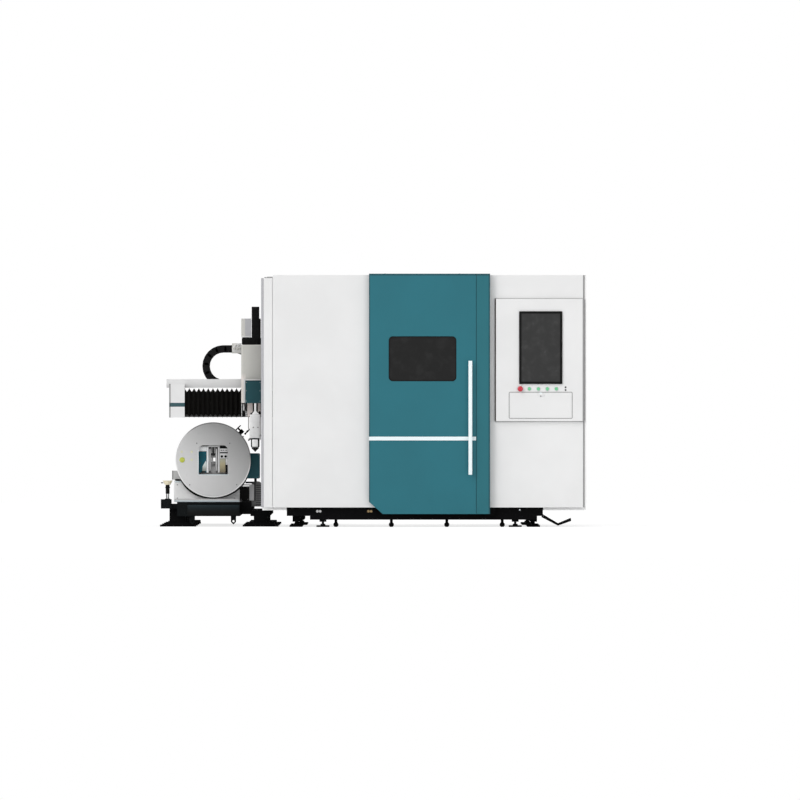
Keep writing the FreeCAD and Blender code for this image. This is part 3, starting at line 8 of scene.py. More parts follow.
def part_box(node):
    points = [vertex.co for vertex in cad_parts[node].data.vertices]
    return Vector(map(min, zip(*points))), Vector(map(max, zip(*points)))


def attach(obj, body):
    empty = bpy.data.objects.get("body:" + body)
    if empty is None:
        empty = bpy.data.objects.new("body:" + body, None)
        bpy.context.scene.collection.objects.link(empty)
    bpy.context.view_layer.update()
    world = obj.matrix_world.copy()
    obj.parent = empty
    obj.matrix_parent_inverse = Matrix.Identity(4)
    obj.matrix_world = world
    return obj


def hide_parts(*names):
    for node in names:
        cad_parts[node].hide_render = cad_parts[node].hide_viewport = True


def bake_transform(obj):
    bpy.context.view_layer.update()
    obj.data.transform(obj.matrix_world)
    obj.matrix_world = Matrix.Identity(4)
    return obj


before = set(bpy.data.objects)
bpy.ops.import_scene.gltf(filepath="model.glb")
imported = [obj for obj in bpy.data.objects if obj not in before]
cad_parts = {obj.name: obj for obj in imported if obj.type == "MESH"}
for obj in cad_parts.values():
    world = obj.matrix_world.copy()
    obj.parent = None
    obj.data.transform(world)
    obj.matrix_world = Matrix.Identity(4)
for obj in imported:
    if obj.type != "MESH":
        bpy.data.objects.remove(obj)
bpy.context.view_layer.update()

# Places are in millimetres: X from the enclosure's left face, Y from the front face of its skins
# to the rear, Z from the floor.
origin = Vector((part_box("side_skin_left")[0].x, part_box("front_skin_left")[0].y, 0.0))
ahead, back, up = (0, -1, 0), (0, 1, 0), (0, 0, 1)

axis_x, axis_z = -430.0, 582.0      # the tube's axis, through both chucks
disc_front, disc_radius = 1000.0, 328.0
rear_front, rear_radius = 4300.0, 270.0


def in_frame(x, y, z):
    """Point of the machine as a point of the frame, in metres."""
    return origin + Vector((x, y, z)) / 1000


def spans(node):
    """The (low, high) pairs of a node along X, Y and Z."""
    low, high = [(corner - origin) * 1000 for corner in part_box(node)]
    return [(low[axis], high[axis]) for axis in range(3)]


def spread(first, last, count):
    """Evenly spaced places from first to last."""
    return [first + (last - first) * step / (count - 1) for step in range(count)]


def tint(*screen):
    """Linear colour from 0 to 255 screen values: red, green and blue, or one grey."""
    linear = []
    for value in screen if len(screen) == 3 else screen * 3:
        part = value / 255
        linear.append(part / 12.92 if part <= 0.04045 else ((part + 0.055) / 1.055) ** 2.4)
    return linear + [1.0]


def scaled(colour, level, lift=0.0):
    """Colour made lighter or darker."""
    return [min(1.0, part * level + lift) for part in colour[:3]] + [1.0]


def grown(span, by):
    """A (low, high) pair made longer at both ends, or shorter."""
    return span[0] - by, span[1] + by


def about(middle, half):
    """The (low, high) pair about a middle."""
    return middle - half, middle + half


def grid(*axes):
    """Every place with one of the given x, y and z, each of them one number or several."""
    x, y, z = [axis if isinstance(axis, (list, tuple)) else [axis] for axis in axes]
    return [(a, b, c) for a in x for b in y for c in z]


# ---------------------------------------------------------------- finishes

finishes = {}


def arithmetic(operation, reflected=False):
    """Operator of a Signal that adds its Math node."""
    def operator(self, other):
        return self.maths(operation, *((other, self) if reflected else (self, other)))
    return operator


class Signal:
    """A socket of a finish; arithmetic on it adds Math nodes."""

    def __init__(self, finish, socket):
        self.finish = finish
        self.socket = socket

    def maths(self, operation, *values):
        return self.finish.node("ShaderNodeMath", {"operation": operation}, dict(enumerate(values)))

    def __abs__(self):
        return self.maths("ABSOLUTE", self)

    __add__, __radd__ = arithmetic("ADD"), arithmetic("ADD", True)
    __sub__, __rsub__ = arithmetic("SUBTRACT"), arithmetic("SUBTRACT", True)
    __mul__, __rmul__ = arithmetic("MULTIPLY"), arithmetic("MULTIPLY", True)
    __truediv__ = arithmetic("DIVIDE")
    __pow__ = arithmetic("POWER")
    __mod__ = arithmetic("FLOORED_MODULO")
    __gt__ = arithmetic("GREATER_THAN")
    __lt__ = arithmetic("LESS_THAN")


class Finish:
    """A procedural material in the making, ended by surface(), or the studio's world."""

    def __init__(self, name, world=None):
        self.owner = world or bpy.data.materials.new(name)
        self.owner.use_nodes = True
        self.tree = self.owner.node_tree
        self.tree.nodes.clear()
        self.where = None if world else self.node("ShaderNodeTexCoord", output="Object")
        finishes[name] = self.owner

    def node(self, kind, settings=(), sockets=(), output=0):
        """Add a node: its settings first, then the values or links of its sockets."""
        made = self.tree.nodes.new(kind)
        for key, value in dict(settings).items():
            if key == "stops":
                for number, (place, colour) in enumerate(value):
                    stops = made.color_ramp.elements
                    stop = stops[number] if number < 2 else stops.new(place)
                    stop.position = place
                    stop.color = colour
            else:
                setattr(made, key, value)
        for key, value in dict(sockets).items():
            if isinstance(value, Signal):
                self.tree.links.new(value.socket, made.inputs[key])
            else:
                made.inputs[key].default_value = value
        return Signal(self, made.outputs[output]) if made.outputs else None

    def along(self, axis, datum=0.0):
        """Distance in millimetres along an axis from a place of the machine."""
        number = "xyz".index(axis)
        metres = self.node("ShaderNodeSeparateXYZ", (), {0: self.where}, number)
        return (metres - (origin[number] + datum / 1000)) * 1000

    def noise(self, size, detail=2.0, stretch=(1.0, 1.0, 1.0)):
        """Noise from 0 to 1 with spots about so many millimetres wide."""
        seen = self.node("ShaderNodeVectorMath", {"operation": "MULTIPLY"},
                         {0: self.where, 1: stretch})
        return self.node("ShaderNodeTexNoise", (),
                         {"Vector": seen, "Scale": 1000 / size, "Detail": detail}, "Fac")

    def ramp(self, value, stops):
        """Colour from a value by stops of (place, colour)."""
        return self.node("ShaderNodeValToRGB", {"stops": stops}, {0: value})

    def mixed(self, share, first, second):
        """Colour between two colours."""
        return self.node("ShaderNodeMix", {"data_type": "RGBA"}, {0: share, 6: first, 7: second}, 2)

    def smooth(self, value, low, high):
        """Soft step from 0 at low to 1 at high."""
        return self.node("ShaderNodeMapRange", {"interpolation_type": "SMOOTHSTEP"},
                         {"Value": value, "From Min": low, "From Max": high})

    def spots(self, size, detail, low, high):
        """Soft-edged spots from 0 to 1, where noise of a size passes from low to high."""
        return self.smooth(self.noise(size, detail), low, high)

    def bumped(self, height, depth):
        """Normal of a relief so many millimetres deep."""
        return self.node("ShaderNodeBump", (), {"Distance": depth / 1000, "Height": height})

    def surface(self, colour, roughness, normal, metal=0.0, gloss=0.5, coat=0.0):
        """End the finish with its shader."""
        shader = self.node("ShaderNodeBsdfPrincipled", (), {
            "Base Color": colour, "Roughness": roughness, "Metallic": metal, "Specular IOR Level": gloss,
            "Coat Weight": coat, "Coat Roughness": 0.08, "Normal": normal})
        self.node("ShaderNodeOutputMaterial", (), {"Surface": shader})

    def shown(self):
        """1 on rays that show the background: from the camera, off gloss and through glass."""
        camera, gloss, glass = [self.node("ShaderNodeLightPath", output=ray)
                                for ray in ("Is Camera Ray", "Is Glossy Ray", "Is Transmission Ray")]
        return camera.maths("MAXIMUM", camera.maths("MAXIMUM", camera, gloss), glass)


def powder_coat(name, colour, roughness, gloss, grain=1.8, drift=0.025, folds=()):
    """Baked powder coat: fine orange peel, slight drifts in tone, darker along (axis, place, width) folds:
    painted shade on folded edges, dark joints at seams.
    """
    coat = Finish(name)
    tone = coat.mixed(coat.spots(520, 3.0, 0.3, 0.7), scaled(colour, 1 - drift), scaled(colour, 1 + drift))
    for axis, place, width in folds:
        # darkened line along each fold: painted shade on a folded edge, a dark joint on a seam
        edge = 1 - coat.smooth(abs(coat.along(axis, place)), width * 0.5, width)
        tone = coat.mixed(edge * 0.7, tone, scaled(colour, 0.3))
    sheen = roughness - 0.05 + 0.1 * coat.noise(70, 3.0)
    coat.surface(tone, sheen, coat.bumped(coat.noise(grain), 0.05), gloss=gloss)


def textured_black(name, colour, gloss, depth=0.25, brackets=None):
    """Black wrinkle paint, dusty where it faces up; white on the brackets past (low, left, right) places."""
    paint = Finish(name)
    normal = paint.node("ShaderNodeNewGeometry", output="Normal")
    upward = paint.smooth(paint.node("ShaderNodeSeparateXYZ", (), {0: normal}, 2), 0.6, 1.0)
    tone = paint.mixed(upward * paint.spots(160, 4.0, 0.35, 0.75), colour, scaled(colour, 2.0, 0.014))
    if brackets:
        low, left, right = brackets
        across = paint.along("x")
        outside = (across < left) + (across > right)
        tone = paint.mixed((paint.along("z") > low) * outside, tone, tint(250))
    grain = paint.noise(2.6, 3.0)
    paint.surface(tone, 0.5 + 0.15 * grain, paint.bumped(grain, depth), gloss=gloss)


def stepped_paint(name, axis, stops, roughness=0.4, gloss=0.4):
    """Paint whose tone changes softly along an axis, by (place in mm, colour) stops."""
    paint = Finish(name)
    first, last = stops[0][0], stops[-1][0]
    share = paint.along(axis, first) / (last - first) + (paint.noise(110, 3.0) - 0.5) * 0.05
    tone = paint.ramp(share, [((place - first) / (last - first), colour) for place, colour in stops])
    sheen = roughness - 0.04 + 0.08 * paint.noise(50)
    paint.surface(tone, sheen, paint.bumped(paint.noise(1.8), 0.05), gloss=gloss)


def banded_cap(name, colour, band_colour, low, high, edge):
    """Light paint with one coloured band between two heights, its bent left edge darkened by painted shade up
    to a place.
    """
    paint = Finish(name)
    height = paint.along("z")
    band = (height > low) * (height < high)
    drifted = paint.mixed(paint.spots(200, 3.0, 0.3, 0.7), colour, scaled(colour, 0.96))
    # painted shade on the bent left edge, left of the given place
    bend_shade = paint.smooth(paint.along("x"), edge + 2, edge - 2)
    tone = paint.mixed(bend_shade, paint.mixed(band, drifted, band_colour),
                       paint.mixed(band, scaled(colour, 0.36), scaled(band_colour, 0.5)))
    paint.surface(tone, 0.38 + 0.08 * paint.noise(40), paint.bumped(paint.noise(1.8), 0.05))


def column_coat(name, step_top, band_low):
    """Warm grey paint of the Z column: darker towards the right with painted shade from the enclosure, paler
    on its left and below the step, with a pale band at its head.
    """
    paint = Finish(name)
    across = paint.along("x")
    height = paint.along("z")
    left, width = -183, 190
    # darker towards the right: painted shade from the enclosure in front of the column's right part
    tone = paint.ramp((across - left) / width + 0.06 * (paint.noise(90, 3.0) - 0.5),
                      [(0.0, tint(203, 202, 196)), (0.35, tint(197, 196, 191)), (1.0, tint(182, 181, 177))])
    pale = paint.smooth(height, step_top + 60, step_top) * paint.smooth(across, -143, -147)
    tone = paint.mixed(pale, tone, tint(226, 219, 214))
    tone = paint.mixed(paint.smooth(height, band_low - 2, band_low + 2), tone, tint(214, 213, 207))
    paint.surface(tone, 0.38 + 0.08 * paint.noise(50), paint.bumped(paint.noise(1.8), 0.05), gloss=0.3)


def turned_steel(name, radius, colour, dark, light):
    """Faced steel: fine rings about the tube axis; painted light low on the left and painted shade high on
    the right; on the rim a painted shade line above and a painted highlight below.
    """
    steel = Finish(name)
    across = steel.along("x", axis_x)
    height = steel.along("z", axis_z)
    out = (across * across + height * height) ** 0.5
    rings = steel.node("ShaderNodeTexNoise", {"noise_dimensions": "1D"},
                       {"W": out / 1.1, "Scale": 1.0, "Detail": 3.0}, "Fac")
    # painted light: lighter low on the left, darker high on the right
    side = (across * -0.85 + height * -0.4) / (2 * radius) + 0.5
    cloud = 0.16 * (steel.noise(170, 3.0) - 0.5) + 0.1 * (rings - 0.5)
    stops = [(0.0, scaled(colour, dark)), (0.5, colour), (1.0, scaled(colour, light))]
    tone = steel.ramp(side + cloud, stops)
    tone = steel.mixed(steel.spots(38, 5.0, 0.62, 0.8) * 0.2, tone, scaled(colour, dark))
    # painted shade line round the rim's upper right, painted highlight round its lower part
    rim = steel.smooth(out, radius - 10, radius - 6)
    lower = steel.smooth(height, 60, -120)
    shaded = steel.smooth(across + height, -60, 120)
    tone = steel.mixed(rim * shaded * (1 - lower), tone, scaled(colour, 0.3))
    tone = steel.mixed(steel.smooth(out, radius - 11, radius - 7) * lower, tone, scaled(colour, 1.5))
    steel.surface(tone, 0.4 + 0.14 * rings, steel.bumped(rings, 0.03), metal=0.25, gloss=0.4)


def ground_steel(name, colour, stretch=(1.0, 0.04, 1.0), roughness=0.3, metal=0.9):
    """Ground steel with scratches drawn out along one direction."""
    steel = Finish(name)
    scratches = steel.noise(1.3, 4.0, stretch)
    worn = 0.35 * scratches + 0.45 * steel.spots(60, 4.0, 0.4, 0.75)
    tone = steel.mixed(worn, colour, scaled(colour, 0.72))
    steel.surface(tone, roughness + 0.2 * scratches, steel.bumped(scratches, 0.02), metal=metal)


def burnt_slats(name, *tops):
    """Mill steel of the pallets, browned and notched with slag along the slats' upper edges."""
    steel = Finish(name)
    height = steel.along("z")
    first, second = [steel.smooth(height, top - 34, top + 4) * (height < top + 20) for top in tops]
    marks = steel.spots(24, 5.0, 0.42, 0.68)
    tone = steel.mixed(steel.noise(90, 4.0), tint(120), tint(152))
    tone = steel.mixed((first + second) * (0.35 + 0.5 * marks), tone, tint(84, 66, 52))
    tone = steel.mixed(steel.spots(13, 5.0, 0.6, 0.72) * 0.35, tone, tint(120, 78, 50))
    lumps = steel.noise(5, 4.0)
    steel.surface(tone, 0.4 + 0.3 * lumps, steel.bumped(lumps, 0.5), metal=0.55)


def coated_cloth(name, thread=1.6):
    """Black coated cloth of the bellows: fine plain weave, greyer in soft patches."""
    cloth = Finish(name)
    warp = abs((cloth.along("z") + cloth.along("y")) % thread - thread / 2)
    weft = abs(cloth.along("x") % thread - thread / 2)
    weave = cloth.smooth(warp + weft, 0.3, 1.3)
    tone = cloth.mixed(cloth.spots(26, 4.0, 0.5, 0.8) * 0.6, tint(13, 12, 11), tint(30, 29, 28))
    cloth.surface(tone, 0.62 + 0.15 * weave, cloth.bumped(weave, 0.12), gloss=0.12)


def moulded(name, colour, roughness, gloss=0.3):
    """Moulded plastic with a fine spark-eroded grain and slightly scuffed sheen."""
    plastic = Finish(name)
    scuffs = plastic.spots(30, 5.0, 0.45, 0.8)
    tone = plastic.mixed(scuffs, colour, scaled(colour, 1.12, 0.004))
    plastic.surface(tone, roughness + 0.12 * scuffs, plastic.bumped(plastic.noise(1.1), 0.06), gloss=gloss)


def gloss_plastic(name, colour, roughness, coat):
    """Gloss moulding with a shallow ripple and faint finger marks."""
    plastic = Finish(name)
    marks = plastic.spots(9, 4.0, 0.5, 0.75)
    tone = plastic.mixed(marks * 0.5, colour, scaled(colour, 0.9))
    plastic.surface(tone, roughness + 0.1 * marks, plastic.bumped(plastic.noise(14), 0.08), coat=coat)


def dark_pane(name, colour, roughness):
    """Dark glazing: nearly black, with a slow ripple and a thin film of dust."""
    pane = Finish(name)
    film = pane.spots(70, 5.0, 0.4, 0.8)
    tone = pane.mixed(film, colour, scaled(colour, 1.25, 0.003))
    pane.surface(tone, roughness + 0.1 * film, pane.bumped(pane.noise(260), 0.3), gloss=0.12)


def motor_case(name, neck_low, neck_high):
    """Teal gear case over its black neck, dark grey motor paint below."""
    paint = Finish(name)
    height = paint.along("z")
    drift = paint.noise(45, 4.0)
    case = paint.mixed(drift, tint(28, 88, 98), tint(33, 98, 108))
    tone = paint.mixed(height > neck_low, paint.mixed(drift, tint(100), tint(115)), tint(14))
    tone = paint.mixed(height > neck_high, tone, case)
    grain = paint.noise(2.2, 3.0)
    paint.surface(tone, 0.42 + 0.1 * grain, paint.bumped(grain, 0.12), gloss=0.3)


def split_plate(name, place, left, right):
    """Plate blacked left of a place, bare and pale right of it, with a soft smear of grease."""
    plate = Finish(name)
    share = plate.smooth(plate.along("x"), place - 1, place + 1)
    smear = plate.spots(34, 4.0, 0.45, 0.75)
    tone = plate.mixed(share, left, plate.mixed(smear * 0.5, right, scaled(right, 0.8)))
    plate.surface(tone, 0.38 + 0.15 * smear, plate.bumped(plate.noise(2.0), 0.05), gloss=0.3)


def cast_base(name):
    """Off-white paint of the chuck's base: greyer low down and to the right, its clamp at the left grey."""
    paint = Finish(name)
    across = paint.along("x")
    height = paint.along("z")
    # greyer low down and to the right
    low_right_greying = paint.smooth(height, 330, 215) * 0.2 + paint.smooth(across, -640, -280) * 0.4
    tone = paint.mixed(low_right_greying, tint(250), tint(232))
    tone = paint.mixed(paint.spots(60, 5.0, 0.45, 0.8) * 0.12, tone, tint(180))
    clamp = paint.smooth(across, -698, -702) * paint.smooth(height, 408, 411)
    tone = paint.mixed(clamp, tone, paint.mixed(paint.smooth(across, -778, -783), tint(186), tint(120)))
    grain = paint.noise(3.0, 3.0)
    paint.surface(tone, 0.42 + 0.12 * grain, paint.bumped(grain, 0.12), gloss=0.4)


side_seams = [("y", place, 5) for place in (1150, 2280, 3410)]
rear_seams = [("x", place, 5) for place in (940, 1880)]
powder_coat("enclosure_white", tint(233), 0.46, 0.35)
powder_coat("side_panel_white", tint(233), 0.46, 0.35, folds=side_seams)
powder_coat("rear_panel_white", tint(233), 0.46, 0.35, folds=rear_seams)
powder_coat("console_white", tint(232), 0.42, 0.35, grain=1.4)
powder_coat("handle_white", tint(240, 250, 253), 0.32, 0.4)
# the folds of the door, the post and the slide cover are painted shade along their edges
powder_coat("door_teal", tint(30, 106, 119), 0.42, 0.3, drift=0.035, folds=[("z", 2206, 25), ("x", 930, 14)])
powder_coat("post_teal", tint(30, 104, 115), 0.42, 0.3, drift=0.03, folds=[("z", 2204, 23), ("x", 1984, 16)])
powder_coat("slide_teal", tint(25, 68, 75), 0.42, 0.2, drift=0.06, folds=[("z", 1276, 14)])
powder_coat("gantry_beam_light", tint(226), 0.42, 0.35)
powder_coat("jaw_cover_teal", tint(15, 84, 98), 0.42, 0.15)
stepped_paint("beam_cover_grey", "z", [(1212, tint(220)), (1250, tint(226)), (1287, tint(226))])
stepped_paint("junction_box_grey", "x", [(-183, tint(210, 209, 204)), (-152, tint(203, 202, 198)),
                                         (-146, tint(182, 182, 186)), (-96, tint(184, 184, 188))])
# darker low down, lighter and bluer towards the top: painted highlight along its upper part
stepped_paint("bed_cover_navy_top_highlight", "z", [(96, tint(10)), (130, tint(13, 15, 15)), (165, tint(19, 27, 30)),
                                      (192, tint(30, 42, 46))], 0.45, 0.1)
stepped_paint("chip_tray_light", "z", [(215, tint(220, 233, 237)), (228, tint(214, 224, 228)),
                                       (231, tint(198)), (243, tint(192))])
stepped_paint("jaw_cover_beige", "z", [(471, tint(130, 121, 103)), (500, tint(152, 143, 116)),
                                       (545, tint(182, 172, 138)), (592, tint(176, 176, 158))], 0.42, 0.3)
stepped_paint("jaw_cam_grey", "z", [(484, tint(136, 142, 136)), (508, tint(172, 178, 172)),
                                    (538, tint(214, 224, 222)), (572, tint(218, 230, 230))], 0.4, 0.3)
banded_cap("end_cap_light", tint(228), tint(24, 70, 76), 1046, 1080.5, -799)
column_coat("column_grey", 1288, 1579)
split_plate("carriage_plate_finish", -130.5, tint(9), tint(246, 236, 232))
cast_base("chuck_base_light")
motor_case("gear_case_and_motor", 393, 420)
textured_black("machine_bed_black", tint(7, 7, 8), 0.04, brackets=(130, 214, 2447))
textured_black("pedestal_black", tint(7, 7, 8), 0.04)
textured_black("exchange_frame_black", tint(23, 25, 27), 0.1)
textured_black("tube_bed_navy", tint(13, 16, 17), 0.06, 0.12)
textured_black("foot_black", tint(7), 0.04, 0.15)
turned_steel("chuck_disc_steel", disc_radius, tint(194), 0.7, 1.14)
turned_steel("rear_disc_steel", rear_radius, tint(186), 0.7, 1.15)
ground_steel("rail_steel", tint(160))
for name, colour, stretch, roughness, metal in (
        ("jaw_steel", tint(190), (0.2, 1.0, 1.0), 0.36, 0.35),
        ("jaw_dark_steel", tint(62), (0.2, 1.0, 1.0), 0.4, 0.3),
        ("roller_steel", tint(198), (1.0, 1.0, 0.05), 0.3, 0.35),
        ("roller_collar_steel", tint(120), (1.0, 1.0, 1.0), 0.35, 0.4),
        ("zinc_plate", tint(196), (1.0, 1.0, 1.0), 0.38, 0.5),
        ("bronze_plate", tint(158, 134, 96), (1.0, 1.0, 1.0), 0.4, 0.5),
        ("head_silver", tint(226), (1.0, 1.0, 0.08), 0.34, 0.25)):
    ground_steel(name, colour, stretch, roughness, metal)
burnt_slats("slat_steel", 590, 420)
coated_cloth("bellows_cloth")
dark_pane("window_pane", tint(32), 0.12)
dark_pane("screen_pane", tint(54), 0.2)
for name, colour, roughness, gloss in (
        ("satin_black", tint(9), 0.42, 0.07), ("motor_black", tint(13), 0.4, 0.08),
        ("chain_plastic", tint(14, 14, 15), 0.42, 0.08), ("bezel_plastic", tint(9), 0.4, 0.1),
        ("seal_grey_and_gap_shade", tint(78, 73, 68), 0.7, 0.1), ("gasket_rubber", tint(22, 44, 50), 0.7, 0.1),
        ("hose_rubber", tint(15), 0.55, 0.12), ("window_shade_black", tint(9), 0.6, 0.08),
        ("seam_grey", tint(158), 0.55, 0.3), ("bead_grey_and_edge_shade", tint(144), 0.5, 0.3),
        ("corner_shade_grey", tint(178, 178, 182), 0.5, 0.3), ("guide_lip_grey", tint(104), 0.55, 0.2),
        ("pale_ledge_and_edge_highlight", tint(228, 240, 243), 0.5, 0.3), ("ring_pale", tint(218), 0.35, 0.4),
        ("fitting_white", tint(240), 0.4, 0.4), ("jaw_cap_white", tint(250, 252, 253), 0.4, 0.3),
        ("drive_plate_grey", tint(204), 0.45, 0.3), ("support_nylon", tint(244, 234, 204), 0.4, 0.4),
        ("key_plastic", tint(48), 0.5, 0.3), ("key_base", tint(28), 0.5, 0.3)):
    moulded(name, colour, roughness, gloss)
gloss_plastic("stop_red", tint(198, 32, 56), 0.3, 0.15)
gloss_plastic("push_green", tint(112, 206, 148), 0.28, 0.2)
gloss_plastic("plug_lime", tint(186, 194, 66), 0.3, 0.2)
gloss_plastic("plug_pale", tint(212, 212, 180), 0.35, 0.1)

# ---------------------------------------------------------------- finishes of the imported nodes

dressed = {
    "machine_bed_black": ["bed_frame"], "foot_black": ["levelling_feet"],
    "rail_steel": ["linear_rails", "door_track"], "enclosure_white": ["front_skin_left", "front_skin_right"],
    "side_panel_white": ["side_skin_left", "side_skin_right", "roof_skin"], "rear_panel_white": ["rear_skin"],
    "post_teal": ["door_post"], "door_teal": ["door_panel"], "window_pane": ["door_window"],
    "handle_white": ["door_trim", "door_handle"], "console_white": ["console_door", "keyboard_flap"],
    "bezel_plastic": ["monitor_frame"], "screen_pane": ["monitor_screen"],
    "gantry_beam_light": ["gantry_beam"], "beam_cover_grey": ["beam_cover"],
    "end_cap_light": ["beam_end_cap"],
    "carriage_plate_finish": ["carriage_plate"], "column_grey": ["z_column"], "motor_black": ["z_motor"],
    "junction_box_grey": ["sensor_box"], "slide_teal": ["slide_cover"], "head_silver": ["cutting_head"],
    "satin_black": ["drive_box", "air_valve", "nozzle", "support_rod"], "support_nylon": ["support_cup"],
    "chuck_base_light": ["front_chuck_housing", "rear_chuck_carriage"],
    "gear_case_and_motor": ["chuck_motor"], "chuck_disc_steel": ["chuck_disc"],
    "rear_disc_steel": ["rear_chuck_rotor"], "tube_bed_navy": ["tube_bed"],
    "pedestal_black": ["tube_pedestals"],
    "exchange_frame_black": ["exchange_frame"], "slat_steel": ["pallet_upper", "pallet_lower"],
    "key_base": ["keyboard"], "stop_red": ["stop_button"],
}
finish_of = {node: finish for finish, group in dressed.items() for node in group}
for name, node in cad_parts.items():
    finish = finishes[finish_of.get(name, "jaw_steel")]
    if node.material_slots:
        for place in node.material_slots:
            place.material = finish
    else:
        node.data.materials.append(finish)

# ---------------------------------------------------------------- forms

box_faces = [(0, 1, 3, 2), (4, 6, 7, 5), (0, 4, 5, 1), (2, 3, 7, 6), (0, 2, 6, 4), (1, 5, 7, 3)]


def prism_faces(count):
    """Ends and sides of a prism, its second outline numbered after the first."""
    sides = [(k, (k + 1) % count, (k + 1) % count + count, k + count) for k in range(count)]
    return [tuple(range(count)), tuple(range(2 * count - 1, count - 1, -1))] + sides


def circle(centre, axis, across, radius, sides):
    """Points round an axis, the first one across from it; a radius of 0 gives one point."""
    third = axis.cross(across)
    return [centre + across * (radius * math.cos(angle)) + third * (radius * math.sin(angle))
            for angle in spread(0, math.tau, sides + 1)[:-1 if radius else 1]]


def rounded(x, z, radius):
    """Outline of a rectangle with round corners, as (x, z) points."""
    (left, right), (low, high) = grown(x, -radius), grown(z, -radius)
    points = []
    for across, rise, first in ((right, high, 0), (left, high, 90), (left, low, 180), (right, low, 270)):
        for angle in spread(math.radians(first), math.radians(first + 90), 7):
            points.append((across + radius * math.cos(angle), rise + radius * math.sin(angle)))
    return points


def domed(radius, edge, crown, height):
    """Profile of a plug: straight up to its edge, then chamfered to a flat crown."""
    return [(0, 0), (radius, 0), (radius, edge), (crown, height), (0, height)]


class Form:
    """A piece in the making: solids gathered in one mesh, in millimetres."""

    def __init__(self):
        self.mesh = bmesh.new()

    def solid(self, corners, faces, bevel=0.0, steps=2):
        """Closed solid from its corners and faces, its sharp edges rounded."""
        made = [self.mesh.verts.new(corner) for corner in corners]
        sides = [self.mesh.faces.new([made[number] for number in face]) for face in faces]
        bmesh.ops.recalc_face_normals(self.mesh, faces=sides)
        if bevel:
            edges = {edge for side in sides for edge in side.edges}
            sharp = [edge for edge in edges if edge.calc_face_angle(0.0) > math.radians(25)]
            bmesh.ops.bevel(self.mesh, geom=sharp, offset=bevel, segments=steps, profile=0.5,
                            affect="EDGES", clamp_overlap=True)
        return self

    def block(self, x, y, z, bevel=1.0):
        """Box from three (low, high) pairs."""
        return self.solid(grid(x, y, z), box_faces, bevel)

    def prism(self, points, axis, low, high, bevel=0.0):
        """Outline stretched from low to high: (x, y) points along z, or (x, z) points along y."""
        corners = [(a, b, level) if axis == "z" else (a, level, b)
                   for level in (low, high) for a, b in points]
        return self.solid(corners, prism_faces(len(points)), bevel)

    def skinned(self, rings, closed=False):
        """Solid over rings of points: a closed one runs back to its first ring, an open one gets ends."""
        loops = [[self.mesh.verts.new(point) for point in ring] for ring in rings]
        ends = [] if closed else [loops[0], loops[-1]]
        faces = [self.mesh.faces.new(loop) for loop in ends if len(loop) > 2]
        for low, high in zip(loops, loops[1:] + (loops[:1] if closed else [])):
            for step in range(max(len(low), len(high))):
                corners = [low[step % len(low)], low[(step + 1) % len(low)],
                           high[(step + 1) % len(high)], high[step % len(high)]]
                faces.append(self.mesh.faces.new(list(dict.fromkeys(corners))))
        bmesh.ops.recalc_face_normals(self.mesh, faces=faces)
        return self

    def turned(self, profile, centres, axis=ahead, sides=40):
        """Solid turned about an axis through each centre, from (radius, height) points."""
        axis = Vector(axis).normalized()
        across = axis.orthogonal().normalized()
        for centre in centres:
            self.skinned([circle(Vector(centre) + axis * height, axis, across, radius, sides)
                          for radius, height in profile], profile[0][0] > 0)
        return self

    def rod(self, start, end, radius, sides=32):
        """Round bar between two points, its ends slightly rounded."""
        run = Vector(end) - Vector(start)
        long = run.length
        soft = min(0.6, radius / 2, long / 3)
        profile = [(0, 0), (radius - soft, 0), (radius, soft), (radius, long - soft),
                   (radius - soft, long), (0, long)]
        return self.turned(profile, [start], run, sides)

    def ring(self, centres, inner, outer, thickness, axis=ahead, sides=40):
        """Flat ring whose lower face is at each centre."""
        soft = min(thickness, outer - inner) / 4
        profile = [(inner, 0), (outer, 0), (outer, thickness - soft), (outer - soft, thickness),
                   (inner + soft, thickness), (inner, thickness - soft)]
        return self.turned(profile, centres, axis, sides)

    def hexagon(self, centres, width, thickness, axis=ahead):
        """Hexagon heads or nuts with chamfered corners and a washer under each."""
        low = thickness * 0.2
        washer = width * 0.62
        self.turned([(0, 0), (washer, 0), (washer, low), (0, low)], centres, axis, 24)
        radius = width / 2 / math.cos(math.pi / 6)
        profile = [(0, low), (radius, low), (radius, thickness * 0.88), (radius * 0.86, thickness),
                   (0, thickness)]
        return self.turned(profile, centres, axis, 6)

    def screw(self, centres, radius, height):
        """Domed socket screw heads."""
        well = radius * 0.5
        profile = [(0, height * 0.35), (well, height * 0.35), (well, height), (radius * 0.8, height),
                   (radius, height * 0.6), (radius, 0), (0, 0)]
        return self.turned(profile, centres, sides=20)

    def tube(self, points, radius, sides=16, steps=8):
        """Round hose on a smooth line through its points."""
        points = [Vector(point) for point in points]
        ends = [2 * points[0] - points[1]] + points + [2 * points[-1] - points[-2]]
        line = []
        for before, now, after, last in zip(ends, ends[1:], ends[2:], ends[3:]):
            for step in range(steps):
                t = step / steps
                line.append(0.5 * ((2 * now) + (after - before) * t
                                   + (2 * before - 5 * now + 4 * after - last) * t * t
                                   + (3 * now - before - 3 * after + last) * t ** 3))
        line.append(points[-1])
        across = (line[1] - line[0]).orthogonal().normalized()
        rings = []
        for before, place, after in zip(line[:1] + line, line, line[1:] + line[-1:]):
            along = (after - before).normalized()
            across = (across - along * across.dot(along)).normalized()
            rings.append(circle(place, along, across, radius, sides))
        return self.skinned(rings)

    def border(self, x, z, y, width, radius):
        """Frame with round corners round a rectangle, y from its front to its back."""
        outer = rounded(grown(x, width), grown(z, width), radius + width)
        inner = rounded(x, z, radius)
        sections = ((outer, y[0]), (inner, y[0]), (inner, y[1]), (outer, y[1]))
        return self.skinned([[(a, level, b) for a, b in outline] for outline, level in sections], True)

